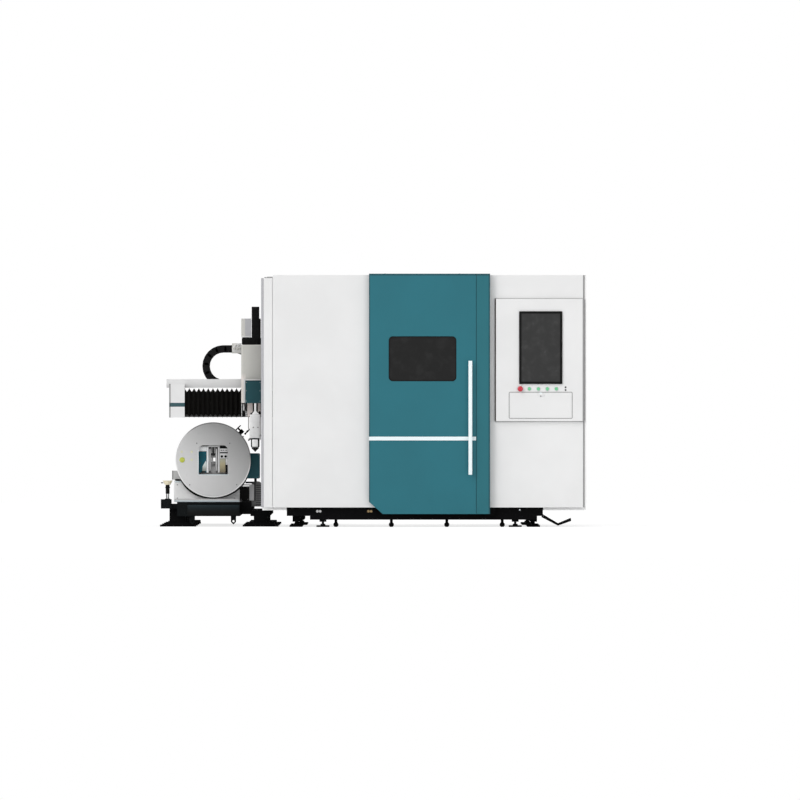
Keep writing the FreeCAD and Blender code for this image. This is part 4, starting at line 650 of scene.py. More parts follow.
    def placed(self, degrees, place):
        """Turn everything made so far about the zero point's Y axis, then move zero to a place."""
        turn = Matrix.Rotation(math.radians(degrees), 3, "Y")
        bmesh.ops.rotate(self.mesh, matrix=turn, verts=self.mesh.verts)
        bmesh.ops.translate(self.mesh, vec=place, verts=self.mesh.verts)
        return self

    def done(self, name, finish, body, slot, *replaces, angle=35):
        """The finished piece, in the frame, on its body if it has one, in place of the nodes it replaces."""
        bmesh.ops.scale(self.mesh, vec=(0.001, 0.001, 0.001), verts=self.mesh.verts)
        bmesh.ops.translate(self.mesh, vec=origin, verts=self.mesh.verts)
        mesh = bpy.data.meshes.new(name)
        self.mesh.to_mesh(mesh)
        self.mesh.free()
        mesh.materials.append(finishes[finish])
        mesh.shade_smooth()
        mesh.set_sharp_from_angle(angle=math.radians(angle))
        piece = bpy.data.objects.new(name, mesh)
        bpy.context.scene.collection.objects.link(piece)
        if body:
            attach(piece, body)
        if replaces:
            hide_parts(*replaces)
        return piece


# ---------------------------------------------------------------- enclosure trim

# grey beads on the front corners: painted shade where the rounded corners turn away from the light
Form().prism([(2793, 0), (2795, -3), (2800, -5), (2805, -3), (2807, 0)], "z", 171, 2191).done(
    "right_corner_shade_bead", "bead_grey_and_edge_shade", "machine", "cover_grey")
Form().prism([(-8, 16), (-7.5, 11), (-3, 8), (5, 7), (11, 8), (14, 12)], "z", 171, 2165).done(
    "left_corner_shade_bead", "corner_shade_grey", "machine", "cover_grey")

sill_front, sill_row = 60, 137
for name, finish, places in (("sill_bolts", "zinc_plate", (482, 506)),
                             ("sill_bolts_bronze", "bronze_plate", (926, 950))):
    Form().hexagon(grid(places, sill_front, sill_row), 19, 11).done(name, finish, "machine", "rail_steel")
Form().turned([(0, 0), (7, 0), (7, 3), (4, 6), (0, 7)], [(2243, sill_front, 149)], sides=24).done(
    "sill_cap", "handle_white", "machine", "handle_paint")
hem = [(2434, 95), (2500, 60.5), (2562, 28.5), (2575, 22), (2588, 26), (2640, 44.5), (2688, 61)]
Form().tube([(x, 14, z) for x, z in hem], 9.5, 14, 3).done(
    "kick_plate_hem", "foot_black", "machine", "black_paint")

foot_plate = 15
feet = grid((295, 2364), spread(240, 4420, 4), foot_plate) + grid((530, 2203.2), 120, foot_plate)
feet += grid((325, 2334), spread(4760, 7860, 3), foot_plate)
Form().hexagon(feet, 38, 13, up).done("foot_locknuts", "foot_black", "machine", "black_paint")

# ---------------------------------------------------------------- door

door_x, door_y, _ = spans("door_panel")
window_x, _, window_z = spans("door_window")
window_x, window_z = grown(window_x, -16), grown(window_z, -16)      # the part in view
window_corner = 36
seal = 7

Form().border(grown(window_x, -seal), grown(window_z, -seal), (-71, -66), seal, window_corner - seal).done(
    "window_seal", "bezel_plastic", "door", "screen_frame", angle=40)
form = Form()
for x, right in zip(window_x, (1, -1)):
    for z, rise in zip(window_z, (1, -1)):
        arc = [(x + right * window_corner * (1 - math.cos(turn)),
                z + rise * window_corner * (1 - math.sin(turn))) for turn in spread(0, math.pi / 2, 9)]
        form.prism([(x - 2 * right, z - 2 * rise)] + arc, "y", -69.8, -66.2)
form.done("window_corners", "door_teal", "door", "teal_paint")

handle_x, _, handle_z = spans("door_handle")
Form().ring(grid(sum(handle_x) / 2, door_y[0], grown(handle_z, -39)), 10, 19, 4, sides=32).done(
    "handle_roses", "zinc_plate", "door", "handle_paint")
Form().block((door_x[1] + 0.2, door_x[1] + 4), (-71.5, -60), (116, 2203), 0.6).done(
    "door_gasket", "gasket_rubber", "machine", "black_paint")

# ---------------------------------------------------------------- console

console_x, console_y, console_z = spans("console_door")
left, base, face = console_x[0], console_z[0], console_y[0]

# dark strip left of the console door: painted shade of the gap beside it
Form().block((left - 11, left - 0.5), (-16, 0), grown(console_z, -1), 2).done(
    "console_gap_shade_strip", "seal_grey_and_gap_shade", "machine", "black_paint")
form = Form()
for z in ((console_z[1], console_z[1] + 5), (base - 5, base)):
    form.block((left - 11, 2792), (-12, 0), z)
form.done("console_edge_strips", "seam_grey", "machine", "cover_grey")

form = Form()
knuckles = spread(*grown(console_z, -4), 14)
for low, high in zip(knuckles, knuckles[1:]):
    form.rod((console_x[1], -0.3, low + 1), (console_x[1], -0.3, high - 1), 5.5, 20)
form.done("console_hinge_barrel", "bead_grey_and_edge_shade", "console", "cover_grey")

# grey bead on the console's right edge: the painted shade of the corner carried on
Form().block((2790, console_x[1] - 0.4), (face - 3.2, face + 0.4), grown(console_z, -1)).done(
    "console_edge_shade_bead", "bead_grey_and_edge_shade", "console", "cover_grey")

flap_x = (left + 118, left + 659)
flap_z = (base + 28, base + 248)
Form().border(grown(flap_x, 1), grown(flap_z, 1), (face - 1.5, face + 0.5), 6, 6).done(
    "flap_edging", "seam_grey", "console", "cover_grey", angle=40)

row = base + 281
stop_place = (left + 211, face, row)
green_places = [(left + 290 + 78.3 * step, face, row) for step in range(4)]

Form().turned([(0, 14), (11, 14), (11, -16), (18, -17), (23.6, -20), (24, -24), (23, -29), (19, -32.5),
               (11, -34), (0, -34)], [stop_place], back, 48).done(
    "stop_button_head", "stop_red", "stop_push_button", "stop_red", "stop_button")
Form().ring([stop_place], 13, 31, 3, sides=48).done("stop_button_ring", "ring_pale", "console", "light_plate")
Form().ring(green_places, 14.6, 19, 4).done("push_button_rings", "ring_pale", "console", "light_plate")
for number, place in enumerate(green_places, start=1):
    Form().turned([(0, 14), (14, 14), (14, -7.5), (13.2, -9.3), (11.5, -9.8), (8, -9.2), (0, -8.8)],
                  [place], back).done(
        f"push_button_cap_{number}", "push_green", f"push_button_{number}", "button_green",
        f"green_button_{number}")

port_x = left + 605
form = Form()
for z in (row + 14, row - 10):
    form.block(about(port_x, 6.5), (face - 3, face + 1), about(z, 6.5))
    form.block(about(port_x, 4.5), (face - 4, face - 2), about(z, 2), 0.4)
form.done("data_ports", "bezel_plastic", "console", "screen_frame")

pull_x, flap_top = sum(flap_x) / 2, flap_z[1]
Form().rod((pull_x, face + 1, flap_top - 31), (pull_x, face - 2.5, flap_top - 31), 6, 24).done(
    "flap_lock", "bead_grey_and_edge_shade", "flap", "cover_grey")
pull = rounded(about(pull_x, 13), (flap_top - 24, flap_top + 1), 10)
Form().prism(pull, "y", face - 6, face + 0.5, 1.5).done("flap_pull", "handle_white", "flap", "handle_paint")

board_x, (board_back, board_face), board_z = spans("keyboard")
Form().block(board_x, (board_back, board_face - 6), board_z, 4).done(
    "keyboard_base", "key_base", "flap", "keyboard_plastic", "keyboard")
columns = spread(*grown(board_x, -22), 17)
rows = spread(*grown(board_z, -22), 6)
space_bar = (columns[5] - 12, columns[10] + 12)
keys = [(about(x, 12), z) for z in rows for x in columns if z > rows[0] or not columns[5] <= x <= columns[10]]
form = Form()
for x, z in keys + [(space_bar, rows[0])]:
    form.block(x, (board_face - 8, board_face), about(z, 10.5), 1.8)
form.done("keyboard_keys", "key_plastic", "flap", "keyboard_plastic")

# ---------------------------------------------------------------- gantry bellows

cap_x, carriage_x, beam_x = [spans(node)[0] for node in ("beam_end_cap", "carriage_plate", "gantry_beam")]
beam_front = 700.0


def bellows(name, start, end, pitch, replaced):
    """Folded cloth round the beam's guides, its ends on the gantry and on the carriage."""
    front, low, high = 596.0, 955.0, 1204.0
    fold, corner, per = 29.0, 16.0, 6      # depth of a fold, radius at the corners, steps in a fold
    total = round((end - start) / pitch) * per
    form = Form()
    loops = []
    for step, x in enumerate(spread(start, end, total + 1)):
        t = step / per
        dip = fold * (1 - (1 - abs(t - round(t)) * 2) ** 1.35)
        y, z0, z1 = front + dip, low + dip, high - dip
        points = [(x, beam_front - 3, z1), (x, y + corner, z1)]
        points += [(x, y + corner * (1 - math.sin(a)), z1 - corner * (1 - math.cos(a)))
                   for a in spread(0.3, math.pi / 2, 4)]
        points += [(x, y + 0.6 * math.sin(t * 1.7), z1 - (z1 - z0) * share) for share in (0.3, 0.5, 0.7)]
        points += [(x, y + corner * (1 - math.cos(a)), z0 + corner * (1 - math.sin(a)))
                   for a in spread(0.0, math.pi / 2 - 0.3, 4)]
        points += [(x, y + corner, z0), (x, beam_front - 3, z0)]
        loops.append([form.mesh.verts.new(point) for point in points])
    faces = [form.mesh.faces.new([near[k], near[k + 1], far[k + 1], far[k]])
             for near, far in zip(loops, loops[1:]) for k in range(len(near) - 1)]
    bmesh.ops.recalc_face_normals(form.mesh, faces=faces)
    bmesh.ops.solidify(form.mesh, geom=faces, thickness=1.6)
    piece = form.done(name, "bellows_cloth", None, "bellows_fabric", replaced, angle=50)
    gantry_end, carriage_end = (start, end) if start < carriage_x[0] else (end, start)
    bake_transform(piece)


bellows("bellows_left_cloth", cap_x[1] - 1, carriage_x[0] - 0.5, 41.0, "bellows_left")
bellows("bellows_right_cloth", carriage_x[1] + 0.5, beam_x[1] - 12.5, 82.0, "bellows_right")

# ---------------------------------------------------------------- cable chain

chain_low, chain_high, chain_bend = 1250.5, 1550.5, -341.0
chain_middle, chain_radius = (chain_low + chain_high) / 2, (chain_high - chain_low) / 2
chain_y = (760, 860)
chain_turns = 12
chain_step = 2 * chain_radius * math.sin(math.pi / 2 / chain_turns)


def chain_link(form, start, end, inner):
    """Two side plates with round ends, a bar above and below, and pins at the joint."""
    along = Vector((end[0] - start[0], 0, end[1] - start[1]))
    length = along.length
    along.normalize()
    rise = Vector((-along.z, 0, along.x))
    inset = 9.0 if inner else 0.0
    half = 32.5

    def at(a, b, y):
        return Vector((start[0], y, start[1])) + along * a + rise * b

    outline = [(middle + half * 0.98 * math.cos(angle), half * math.sin(angle))
               for middle, first in ((0, math.pi / 2), (length, -math.pi / 2))
               for angle in spread(first, first + math.pi, 7)]
    front, rear = grown(chain_y, -inset)
    for plate in ((front, front + 8.4), (rear - 8.4, rear)):
        form.solid([at(a, b, y) for y in plate for a, b in outline], prism_faces(len(outline)), 1.2, 1)
    for bar in ((half - 7, half - 1), (1 - half, 7 - half)):
        corners = [at(a, b, y) for a in (length * 0.28, length * 0.72)
                   for y in grown(chain_y, -1) for b in bar]
        form.solid(corners, box_faces, 1.5, 1)
    if not inner:
        for y, way in zip(chain_y, (ahead, back)):
            form.turned(domed(11, 1.2, 9, 1.8), [at(0, 0, y), at(length, 0, y)], way, 16)


def chain_run(name, pivots, first, start, end):
    """Part of the chain as its own piece; its start and end are not used."""
    form = Form()
    for number, (near, far) in enumerate(zip(pivots, pivots[1:]), first):
        chain_link(form, near, far, number % 2 == 1)
    piece = form.done(name, "chain_plastic", None, "chain_plastic", "cable_chain")
    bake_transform(piece)


low_count = int((580 - chain_bend) / chain_step)
high_count = int((carriage_x[0] - 65 / 3 - chain_bend) / chain_step)
low_pivots = [(chain_bend + k * chain_step, chain_low) for k in range(low_count, 0, -1)]
bend_pivots = [(chain_bend - chain_radius * math.sin(angle), chain_middle - chain_radius * math.cos(angle))
               for angle in spread(0, math.pi, chain_turns + 1)]
high_pivots = [(chain_bend + k * chain_step, chain_high) for k in range(high_count + 1)]
fixed_x, bracket_x = low_pivots[0][0], carriage_x[0] - 20
run_y = sum(chain_y) / 2
chain_run("chain_lower_run", low_pivots + bend_pivots[:1], 0, in_frame(fixed_x, run_y, chain_low),
          in_frame(2 * chain_bend - fixed_x, run_y, chain_low))
chain_run("chain_bend", bend_pivots, low_count, in_frame(chain_bend - 1e6, run_y, chain_middle),
          in_frame(chain_bend + 1e6, run_y, chain_middle))
chain_run("chain_upper_run", high_pivots, low_count + chain_turns,
          in_frame(2 * chain_bend - bracket_x, run_y, chain_high), in_frame(bracket_x, run_y, chain_high))

# ---------------------------------------------------------------- chain end on the carriage

Form().prism([(-184.5, 1519), (-184.5, 1598), (-214, 1598), (-232, 1594), (-247, 1583), (-257, 1568),
              (-261.5, 1550), (-261.5, 1530), (-258, 1522), (-250, 1519)], "y", 749, 753.5, 1.2).done(
    "chain_clamp_plate", "end_cap_light", "carriage", "light_plate")
form = Form()
for x, z, radius in ((-244, 1556, 13), (-219, 1552, 12), (-197, 1557, 11), (-232, 1580, 8), (-207, 1582, 8)):
    profile = [(0, 0), (radius, 0), (radius, 4), (radius * 0.75, 8), (0, 9)]
    form.turned(profile, [(x, 749.5, z)], sides=24)
form.done("chain_clamp_saddles", "junction_box_grey", "carriage", "light_plate")
Form().prism([(-263, 1525), (-263, 1517.5), (-222, 1513), (-184, 1500), (-184, 1515), (-216, 1522)],
             "y", 762, 858, 1).done("chain_end_guide", "chain_plastic", "carriage", "chain_plastic")

# ---------------------------------------------------------------- column, motor and junction box

Form().block((-161, -147.5), (466.5, 470.2), (1081, 1287)).done(
    "column_wear_strip", "ring_pale", "carriage", "light_plate")
Form().block((-145.5, -11.5), (396, 420), (1275.8, 1284), 1.5).done(
    "slide_top_lip", "ring_pale", "z_slide", "light_plate")
Form().screw(grid((-138, -19), 394.8, (1096, 1186, 1258)), 3.2, 1.6).done(
    "slide_cover_screws", "zinc_plate", "z_slide", "rail_steel")
Form().block((-182.5, -97), (486.5, 490.2), (1651, 1662), 1.2).done(
    "junction_box_foot", "ring_pale", "carriage", "light_plate")
Form().screw(grid((-174, -105), 490, (1680, 1806)), 3.4, 2).done(
    "junction_box_screws", "zinc_plate", "carriage", "rail_steel")
Form().turned([(0, 0), (8, 0), (8, 5), (6.5, 7), (6.5, 14), (4.5, 17), (0, 17)],
              grid((-160, -140, -120), 590, 1790), back, 20).done(
    "junction_box_glands", "satin_black", "carriage", "motor_black")

form = Form()
for z in spread(1668, 1798, 9):
    form.block((-93.4, -11.0), (494.6, 575.4), about(z, 2.2), 0.8)
for z in spread(1828, 1903, 4):
    form.block((-93.4, -24.6), (500.6, 569.4), about(z, 2.0), 0.8)
form.done("motor_ribs", "motor_black", "carriage", "motor_black")
form = Form()
form.hexagon(grid((-160, -100, -40), 480, 1617), 15, 8)
form.block((-178, -10), (476.5, 480.2), (1592, 1642), 2)
form.done("motor_flange_plate", "satin_black", "carriage", "motor_black")
form = Form()
form.turned([(0, 0), (11, 0), (11, 12), (9, 14), (9, 26), (0, 26)], grid((-62, -35), 575, 1700), back, 24)
form.turned([(0, 0), (30, 0), (31, 2), (26, 4), (0, 4)], [(-60, 535, 1913.8)], up, 32)
form.done("motor_plugs", "satin_black", "carriage", "motor_black")

Form().block((-177, -152), (598, 624), (958, 1010), 3).done(
    "guide_stop", "satin_black", "carriage", "motor_black")
strip_y = (596.5, 600.5)
Form().block((-182, -176.5), strip_y, (961, 1072)).block((-167, -156), strip_y, (1013, 1068)).done(
    "guide_strips", "ring_pale", "carriage", "light_plate")
Form().block((-675, beam_x[1] - 14), (698.4, 700.4), (956, 1002), 0.5).done(
    "bellows_lower_lip", "guide_lip_grey", "gantry", "cover_grey")
waves = [(radius, 5.2 * step + rise) for step in range(9) for radius, rise in ((9.0, 0.6), (6.8, 3.1))]
Form().turned([(0, 0)] + waves + [(9.0, 47.0), (0, 47.0)], [(-139, 607, 957)], up, 20).done(
    "guide_sleeve", "ring_pale", "carriage", "light_plate")
Form().ring(grid(-139, 607, (962, 978, 994)), 8.2, 10.2, 3, up, 20).done(
    "guide_sleeve_rings", "hose_rubber", "carriage", "motor_black")

# ---------------------------------------------------------------- cutting head

head_x, head_y, head_front = -61.0, 418.0, 368.0
form = Form()
form.prism(rounded((-109.5, -12.5), (370.5, 465.5), 12), "z", 773, 979, 1.4)
form.prism(rounded((-103, -19), (792, 966), 7), "y", head_front, head_front + 3, 0.8)
form.done("head_body", "head_silver", "z_slide", "head_silver", "cutting_head")
Form().turned([(0, 0.6), (3.4, 0.6), (4.6, 2.2), (5.6, 2.2), (5.6, 0), (0, 0)],
              grid((-76.6, -37.4), head_front, 866), sides=20).done(
    "head_lens_screws", "roller_collar_steel", "z_slide", "machined_steel")
Form().screw(grid((-97, -25), head_front, (800, 958)), 3.4, 1.8).done(
    "head_cover_screws", "roller_steel", "z_slide", "machined_steel")
Form().turned([(0, 1077.5), (22, 1077.5), (22.5, 1076), (22.5, 1004), (40, 986), (42, 982), (42, 979.2),
               (0, 979.2)], [(head_x, head_y, 0)], up).done(
    "head_connector_shell", "satin_black", "z_slide", "nozzle_black")
Form().prism([(-69, 1076), (-52, 1076), (-52, 1010), (-45, 1000), (-31, 988), (-31, 980), (-88, 980),
              (-88, 988), (-75, 1000), (-69, 1010)], "y", 374, 400, 1.5).done(
    "head_connector_core", "fitting_white", "z_slide", "head_silver")
form = Form()
form.prism([(-103, 980), (-88, 980), (-88, 987), (-80, 996), (-86, 1000), (-103, 989)], "y", 376, 402, 1)
form.prism([(-31, 980), (-13.5, 980), (-13.5, 1002), (-22, 1010), (-36, 999), (-31, 988)], "y", 376, 402, 1)
form.done("head_clamp_wings", "satin_black", "z_slide", "nozzle_black")
Form().turned([(0, 772.8), (35, 772.8), (37.6, 770), (37.6, 700), (33, 691), (0, 690.5)],
              [(head_x, head_y, 0)], up, 48).done("head_neck", "satin_black", "z_slide", "nozzle_black")
Form().prism(rounded((-88, -37), (698, 761), 7), "y", 376.5, 390, 1.5).done(
    "head_neck_window", "fitting_white", "z_slide", "head_silver")
Form().turned([(2.5, 690), (2.5, 656), (3.6, 655.2), (5.2, 655.6), (9, 662), (18, 671), (28.6, 679.5),
               (30.3, 682), (30.3, 689), (29.4, 690)], [(head_x, head_y, 0)], up).done(
    "nozzle_cone", "satin_black", "z_slide", "nozzle_black", "nozzle")

form = Form()
form.tube([(x, head_y, z) for x, z in ((-104, 852), (-113, 846), (-127, 834), (-152, 806))], 5.5)
for x0, z0, x1, z1, radius, sides in ((-122, 839, -134, 826, 9, 6), (-143, 816, -153, 805, 8, 20),
                                      (-96, 778, -121, 751, 6.5, 20), (-104, 770, -112, 761, 9.5, 6)):
    form.rod((x0, head_y, z0), (x1, head_y, z1), radius, sides)
form.turned(domed(5, 5, 3, 7), [(-13, head_y, 798)], (1, 0, 0), 20)
form.done("head_fittings", "satin_black", "z_slide", "nozzle_black")
form = Form()
form.turned([(0, 0), (6, 0.5), (8, 4), (8, 10), (5, 14), (0, 14)], grid((-112, -18), head_y, 759), up, 24)
for x in ((-112, -96), (-26, -14)):
    form.block(x, about(head_y, 6), (768, 774))
form.done("head_bleed_knobs", "fitting_white", "z_slide", "head_silver")
pipe = [(-106, 962), (-114, 961), (-119, 950), (-119, 905), (-119, 862), (-114, 851), (-106, 850)]
Form().tube([(x, head_y, z) for x, z in pipe], 3.0, 12).done(
    "head_gas_pipe", "seal_grey_and_gap_shade", "z_slide", "machined_steel")

# ---------------------------------------------------------------- front chuck


def jaw_carrier(form):
    """Carrier of a jaw that points right: body with clamped pads, two arms for the roller and a web."""
    form.block((57.5, 129.5), (3, 39.5), (-111.5, 111.5), 2.5)
    for z in (-84, -28, 28, 84):
        form.block((66, 121), (1.6, 4), about(z, 22))
    form.screw(grid((76, 111), 1.7, (-84, -28, 28, 84)), 5, 0.9)
    for z in (-106, 106):
        form.block((21.5, 59), (5, 35), about(z, 5.5), 2)
    form.block((41.5, 58.5), (31.5, 37), (-101, 101))


def jaw_roller(form):
    """Crowned roller on its pin between the arms."""
    form.turned([(0, -99.5), (8.2, -99.5), (9.6, -97), (9.9, 0), (9.6, 97), (8.2, 99.5), (0, 99.5)],
                [(29, 20, 0)], up)


def jaw_collars(form):
    """Seal rings at the roller's ends, with the pin's heads."""
    for side in (-1, 1):
        form.ring([(29, 20, 99.5 * side)], 8, 10.8, 5, (0, 0, -side), 32)
        form.turned(domed(6.5, 4.5, 5, 5.8), [(29, 20, 106 * side)], (0, 0, side), 20)


def roller_jaw(end, place, degrees, front, finish):
    """The three pieces of a jaw, turned to its place round the tube axis."""
    plane = front + (40 if place in ("right", "left") else 96)
    for part, build, paint in (("carrier", jaw_carrier, finish), ("roller", jaw_roller, "roller_steel"),
                               ("collars", jaw_collars, "roller_collar_steel")):
        form = Form()
        build(form)
        form.placed(-degrees, (axis_x, plane, axis_z))
        form.done(f"{end}_{place}_jaw_{part}", paint, f"{end}_{place}_jaw", "machined_steel",
                  f"{end}_jaw_{place}")


# the right, top and left front jaws use a darkened copy of the jaw steel: painted shade inside the chuck
for place, degrees, finish in (("right", 0, "jaw_dark_steel"), ("top", 90, "jaw_dark_steel"),
                               ("left", 180, "jaw_dark_steel"), ("bottom", 270, "jaw_steel")):
    roller_jaw("front", place, degrees, disc_front, finish)
    roller_jaw("rear", place, degrees, rear_front, "jaw_steel")

plate_y, strip_y, cover_y, pad_y = (1041, 1043.5), (1041, 1043.8), (1040.4, 1043.5), (1040.2, 1041.2)
left_x, right_x = (-556.6, -488.5), (-371.5, -303.4)

Form().block(left_x, plate_y, (470.8, 655.5), 0.6).done(
    "left_jaw_cover", "jaw_cover_teal", "front_left_jaw", "dark_teal")
Form().block(left_x, cover_y, (657.5, 693.4)).block((-487.5, -471), strip_y, (471, 693), 0.8).done(
    "left_jaw_cap", "jaw_cap_white", "front_left_jaw", "light_plate")
Form().prism([(-526, 484), (-489, 484), (-489, 566), (-498, 572), (-508, 552), (-523, 526)],
             "y", *pad_y, 0.3).done("left_jaw_cam", "jaw_cam_grey", "front_left_jaw", "support_nylon")
Form().block((-534, -500), pad_y, (471.2, 484), 0.3).done(
    "left_jaw_pad", "satin_black", "front_left_jaw", "motor_black")

Form().block((-371.5, -324), cover_y, (470.8, 592), 0.6).done(
    "right_jaw_cover", "jaw_cover_beige", "front_right_jaw", "light_plate")
form = Form()
form.block(right_x, plate_y, (594, 681), 0.6)
form.block((-389, -374), strip_y, (471, 693), 0.8)
form.turned(domed(8.5, 0.5, 7, 0.8), [(-313, plate_y[0], 566)], sides=28)
form.block((-321, -303.4), plate_y, (540, 592), 0.6)
form.done("right_jaw_plate", "ring_pale", "front_right_jaw", "light_plate")
form = Form()
form.block(right_x, cover_y, (682.5, 693.4), 0.6)
form.block(right_x, (1040.3, 1041.2), (639, 650), 0.3)
form.block((-322.5, -303.4), cover_y, (470.8, 538), 0.6)
form.turned(domed(11, 0.5, 9, 0.8), grid((-355, -322), 1041.1, 612), sides=24)
form.turned([(0, 0), (4.5, 0), (4.5, 0.4), (0, 0.7)], grid((-360, -338, -317), 1041.1, 666), sides=16)
form.done("right_jaw_bars", "satin_black", "front_right_jaw", "motor_black")

form = Form()
for x in (-450, -421):
    form.block((x, x + 11), (1096.4, 1097.8), (640, 692.5), 0.4)
form.done("top_jaw_guides", "ring_pale", "front_top_jaw", "light_plate")
Form().block((-557, -470.5), (1046, 1052), (694.3, 700)).done(
    "window_wiper", "jaw_cap_white", "front_rotor", "light_plate")
Form().block((-470.5, -372), (1046, 1052), (694.3, 706)).done(
    "window_lip", "ring_pale", "front_rotor", "light_plate")
# black strips along the window's top and bottom walls: painted shade inside the opening
form = Form()
for z in ((697, 707.5), (456, 466)):
    form.block((-546, -314), (1139, 1149), z, 1.5)
form.done("chuck_window_shade_strips", "window_shade_black", "front_rotor", "motor_black")
# pale strips along the opening's left and bottom edges: painted highlight on the lit edges
lip_y = (disc_front - 1.6, disc_front + 1)
Form().block((-564, -557.6), lip_y, (460, 668)).block((-564, -296), lip_y, (448.5, 455)).done(
    "chuck_window_highlight_lip", "pale_ledge_and_edge_highlight", "front_rotor", "light_plate")
# flat ring over the disc's chamfer; its finish paints the rim's shade line and highlight
Form().turned([(313, 0.5), (313, -1.2), (326.4, -1.2), (327.8, 0.4), (327.8, 14.5), (320, 14.5)],
              [(axis_x, disc_front, axis_z)], back, 160).done(
    "chuck_disc_rim", "chuck_disc_steel", "front_rotor", "machined_steel")
Form().turned([(0, 0), (23.5, 0), (23.5, 2.5), (20, 5), (13, 6), (0, 6)],
              [(-701, disc_front, axis_z)], sides=48).done(
    "chuck_grease_plug", "plug_lime", "front_rotor", "button_green")
plugs = [(x, disc_front, z) for x, z in ((-704.7, 652.5), (-617.7, 652.5), (-617.7, 583))]
Form().turned(domed(10.5, 0.8, 9, 1.6), plugs, sides=32).done(
    "chuck_face_plugs", "plug_pale", "front_rotor", "light_plate")
screws = [(x, disc_front, z) for x, z in ((-574, 727), (-635, 365), (-286, 727), (-225, 365))]
Form().screw(screws, 5.5, 1.2).done(
    "chuck_face_screws", "roller_collar_steel", "front_rotor", "machined_steel")


def round_axis(radius, y, angle):
    """Place at a radius and an angle about the tube axis."""
    return axis_x + radius * math.cos(angle), y, axis_z + radius * math.sin(angle)


def crescent(start, end, inner, outers, front, rear):
    """Curved band about the tube axis, from one angle in degrees to another; its outer radius changes."""
    sections = []
    angles = spread(math.radians(start), math.radians(end), 60)
    for angle, share in zip(angles, spread(0, len(outers) - 1, 60)):
        number = min(int(share), len(outers) - 2)
        outer = outers[number] + (outers[number + 1] - outers[number]) * (share - number)
        sections.append([round_axis(radius, y, angle) for radius, y in
                         ((outer, front), (outer, rear), (inner, rear), (inner, front))])
    return Form().skinned(sections)


housing_front, housing_face = 1152, 1152.2
# black band under the disc's lower edge: painted shadow of the disc
crescent(211, 332, 330, (336, 344, 346, 341, 338, 338, 342, 344, 338), 1112, housing_front).done(
    "chuck_disc_shadow_band", "satin_black", "machine", "motor_black")
Form().block((-763, -706), (1138, housing_face), (400, 414), 3).done(
    "chuck_strap", "satin_black", "machine", "motor_black")
Form().block((-766, -704), (1146, housing_face), (386, 398), 2).done(
    "chuck_base_ledge", "pale_ledge_and_edge_highlight", "machine", "light_plate")
Form().block((-766, -204), (1004, housing_face), (215, 242.5), 2.5).screw(
    grid((-730, -485, -240), 1004, 236), 3.5, 2).done(
    "chuck_chip_tray", "chip_tray_light", "machine", "light_plate")
Form().block((-655, -203), (876.5, 880.4), (100, 190), 2).screw(
    grid((-640, -430, -218), 876.6, 178), 4, 2).done(
    "tube_bed_cover", "bed_cover_navy_top_highlight", "machine", "navy_paint")
Form().screw(grid((-744, -244), housing_front, (246, 366)), 7, 5).done(
    "chuck_base_screws", "zinc_plate", "machine", "rail_steel")
for name, body, count, radius, y, width, height in (
        ("chuck_housing_bolts", "machine", 16, 238, 1400, 22, 13),
        ("rear_housing_bolts", "rear_carriage", 12, 196, 4752, 20, 12)):
    places = [round_axis(radius, y, math.tau * (step + 0.5) / count) for step in range(count)]
    Form().hexagon(places, width, height, back).done(name, "zinc_plate", body, "rail_steel")
stud_angle, stud_y = 0.663, 1190
Form().rod(round_axis(286, stud_y, stud_angle), round_axis(336, stud_y, stud_angle), 4.5, 20).done(
    "housing_stud", "satin_black", "machine", "motor_black")

# ---------------------------------------------------------------- chuck drive

form = Form()
form.block((-115.4, -74), (1171, 1182.2), (227, 364), 2)
form.block((-183, -76), (1169, 1181), (358, 369), 2)
form.done("drive_plate", "drive_plate_grey", "machine", "light_plate")
Form().block((-149, -77), (1169, 1182.2), (376, 392.5), 2).done(
    "drive_top_bar", "key_plastic", "machine", "motor_black")
Form().tube([(-66, 1178, z) for z in (224, 262, 330, 396)] + [(-63, 1186, 408)], 3.6).done(
    "drive_conduit", "hose_rubber", "machine", "motor_black")
form = Form()
for z in spread(192, 360, 10):
    form.block((-58, -12), (1179.5, 1183), about(z, 3))
form.done("drive_motor_fins", "key_plastic", "machine", "motor_black")
Form().screw(grid((-188, -128), 1180, (238, 339)), 4, 2.5).done(
    "drive_box_screws", "roller_collar_steel", "machine", "machined_steel")
Form().screw(grid((-138, -36), 1162, (432, 627)), 4.5, 2.5).done(
    "gear_case_screws", "roller_collar_steel", "machine", "machined_steel")

# ---------------------------------------------------------------- side support

rod_x, rod_y = -828, 1000
Form().block(about(rod_x, 5.5), (985.6, 987.4), (242, 286), 0.5).done(
    "support_scale", "fitting_white", "side_support", "light_plate")
form = Form()
form.rod((-886, rod_y, 382), (-866, rod_y, 382), 4.2, 16)
form.ring([(rod_x, rod_y, 336)], 17, 21, 12, up, 32)
form.rod((rod_x, 978, 342), (rod_x, 966, 342), 4.5, 16)
form.done("support_lock", "satin_black", "side_support", "black_paint")
Form().ring([(rod_x, rod_y, 239)], 14.5, 24, 5, up, 32).hexagon(grid((-876, -804), 945, 198), 12, 7).done(
    "support_box_collar", "foot_black", "machine", "black_paint")

# ---------------------------------------------------------------- stage, light and camera

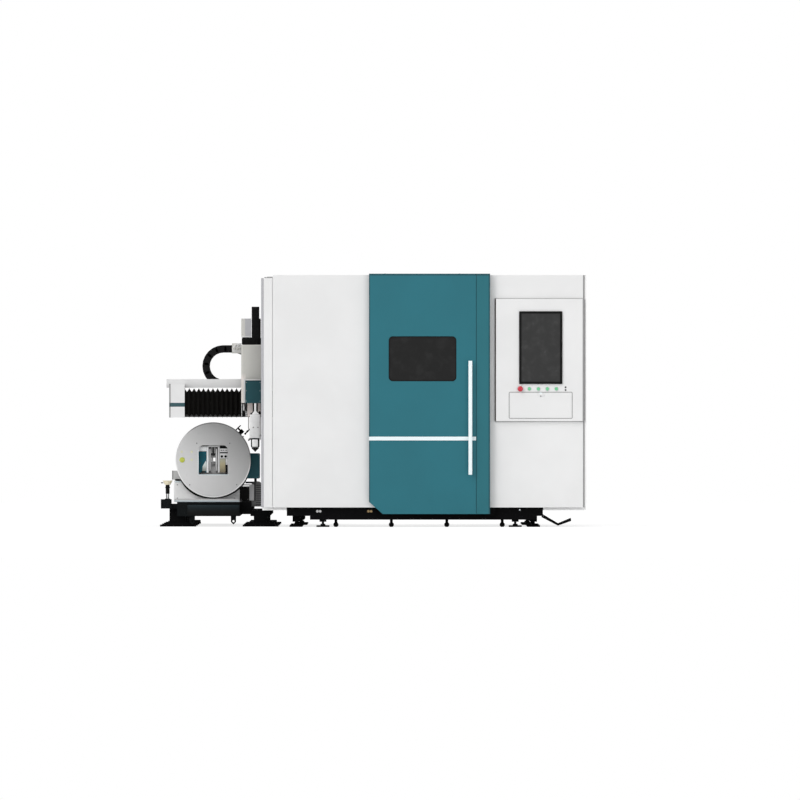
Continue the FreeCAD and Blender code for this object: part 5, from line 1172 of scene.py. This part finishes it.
ground = Finish("studio_floor")
ground_tone = ground.mixed(ground.noise(2000), tint(243), tint(248))
plain = ground.node("ShaderNodeBsdfDiffuse", (), {"Color": ground_tone})
soft_shadow = ground.node("ShaderNodeBsdfDiffuse", (), {"Color": tint(162)})
white = ground.node("ShaderNodeEmission", (), {"Color": tint(255), "Strength": 0.76})
bright = ground.node("ShaderNodeAddShader", (), {0: soft_shadow, 1: white})
ground.node("ShaderNodeOutputMaterial", (), {"Surface": ground.node(
    "ShaderNodeMixShader", (), {0: ground.shown(), 1: plain, 2: bright})})
floor = bpy.data.meshes.new("floor")
floor.from_pydata([(-60, -60, 0), (60, -60, 0), (60, 60, 0), (-60, 60, 0)], [], [(0, 1, 2, 3)])
floor.materials.append(ground.owner)
floor_piece = bpy.data.objects.new("floor", floor)
bpy.context.scene.collection.objects.link(floor_piece)

world = bpy.data.worlds.new("studio")
bpy.context.scene.world = world
studio = Finish("studio", world)
soft, seen = [studio.node("ShaderNodeBackground", (), {"Color": tint(255), "Strength": strength})
              for strength in (0.5, 1.0)]
studio.node("ShaderNodeOutputWorld", (), {"Surface": studio.node(
    "ShaderNodeMixShader", (), {0: studio.shown(), 1: soft, 2: seen})})


def sun(name, strength, spread_deg, towards):
    """Soft distant lamp shining along a direction."""
    lamp = bpy.data.lights.new(name, "SUN")
    lamp.energy = strength
    lamp.angle = math.radians(spread_deg)
    holder = bpy.data.objects.new(name, lamp)
    holder.rotation_mode = "QUATERNION"
    holder.rotation_quaternion = Vector(towards).to_track_quat("-Z", "Y")
    bpy.context.scene.collection.objects.link(holder)


sun("key_light", 0.8, 40, (0.5, 0.75, -0.85))
sun("front_fill", 0.5, 25, (0.8, 1.0, -0.35))
sun("low_fill", 0.6, 30, (-0.42, 1.0, -0.04))
sun("rear_fill", 0.8, 40, (-0.6, -0.75, -0.45))

camera_data = bpy.data.cameras.new("camera")
camera_data.sensor_width = 36
camera_data.lens = 1500
camera_data.clip_start = 1.0
camera_data.clip_end = 2000.0
camera = bpy.data.objects.new("camera", camera_data)
camera_across, camera_distance, camera_height = 0.2381, 290, 1.1049      # metres
camera.location = (camera_across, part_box("front_skin_left")[0].y - camera_distance, camera_height)
camera.rotation_euler = (math.pi / 2, 0, 0)
bpy.context.scene.collection.objects.link(camera)
bpy.context.scene.camera = camera
bpy.context.scene.view_settings.view_transform = "Standard"
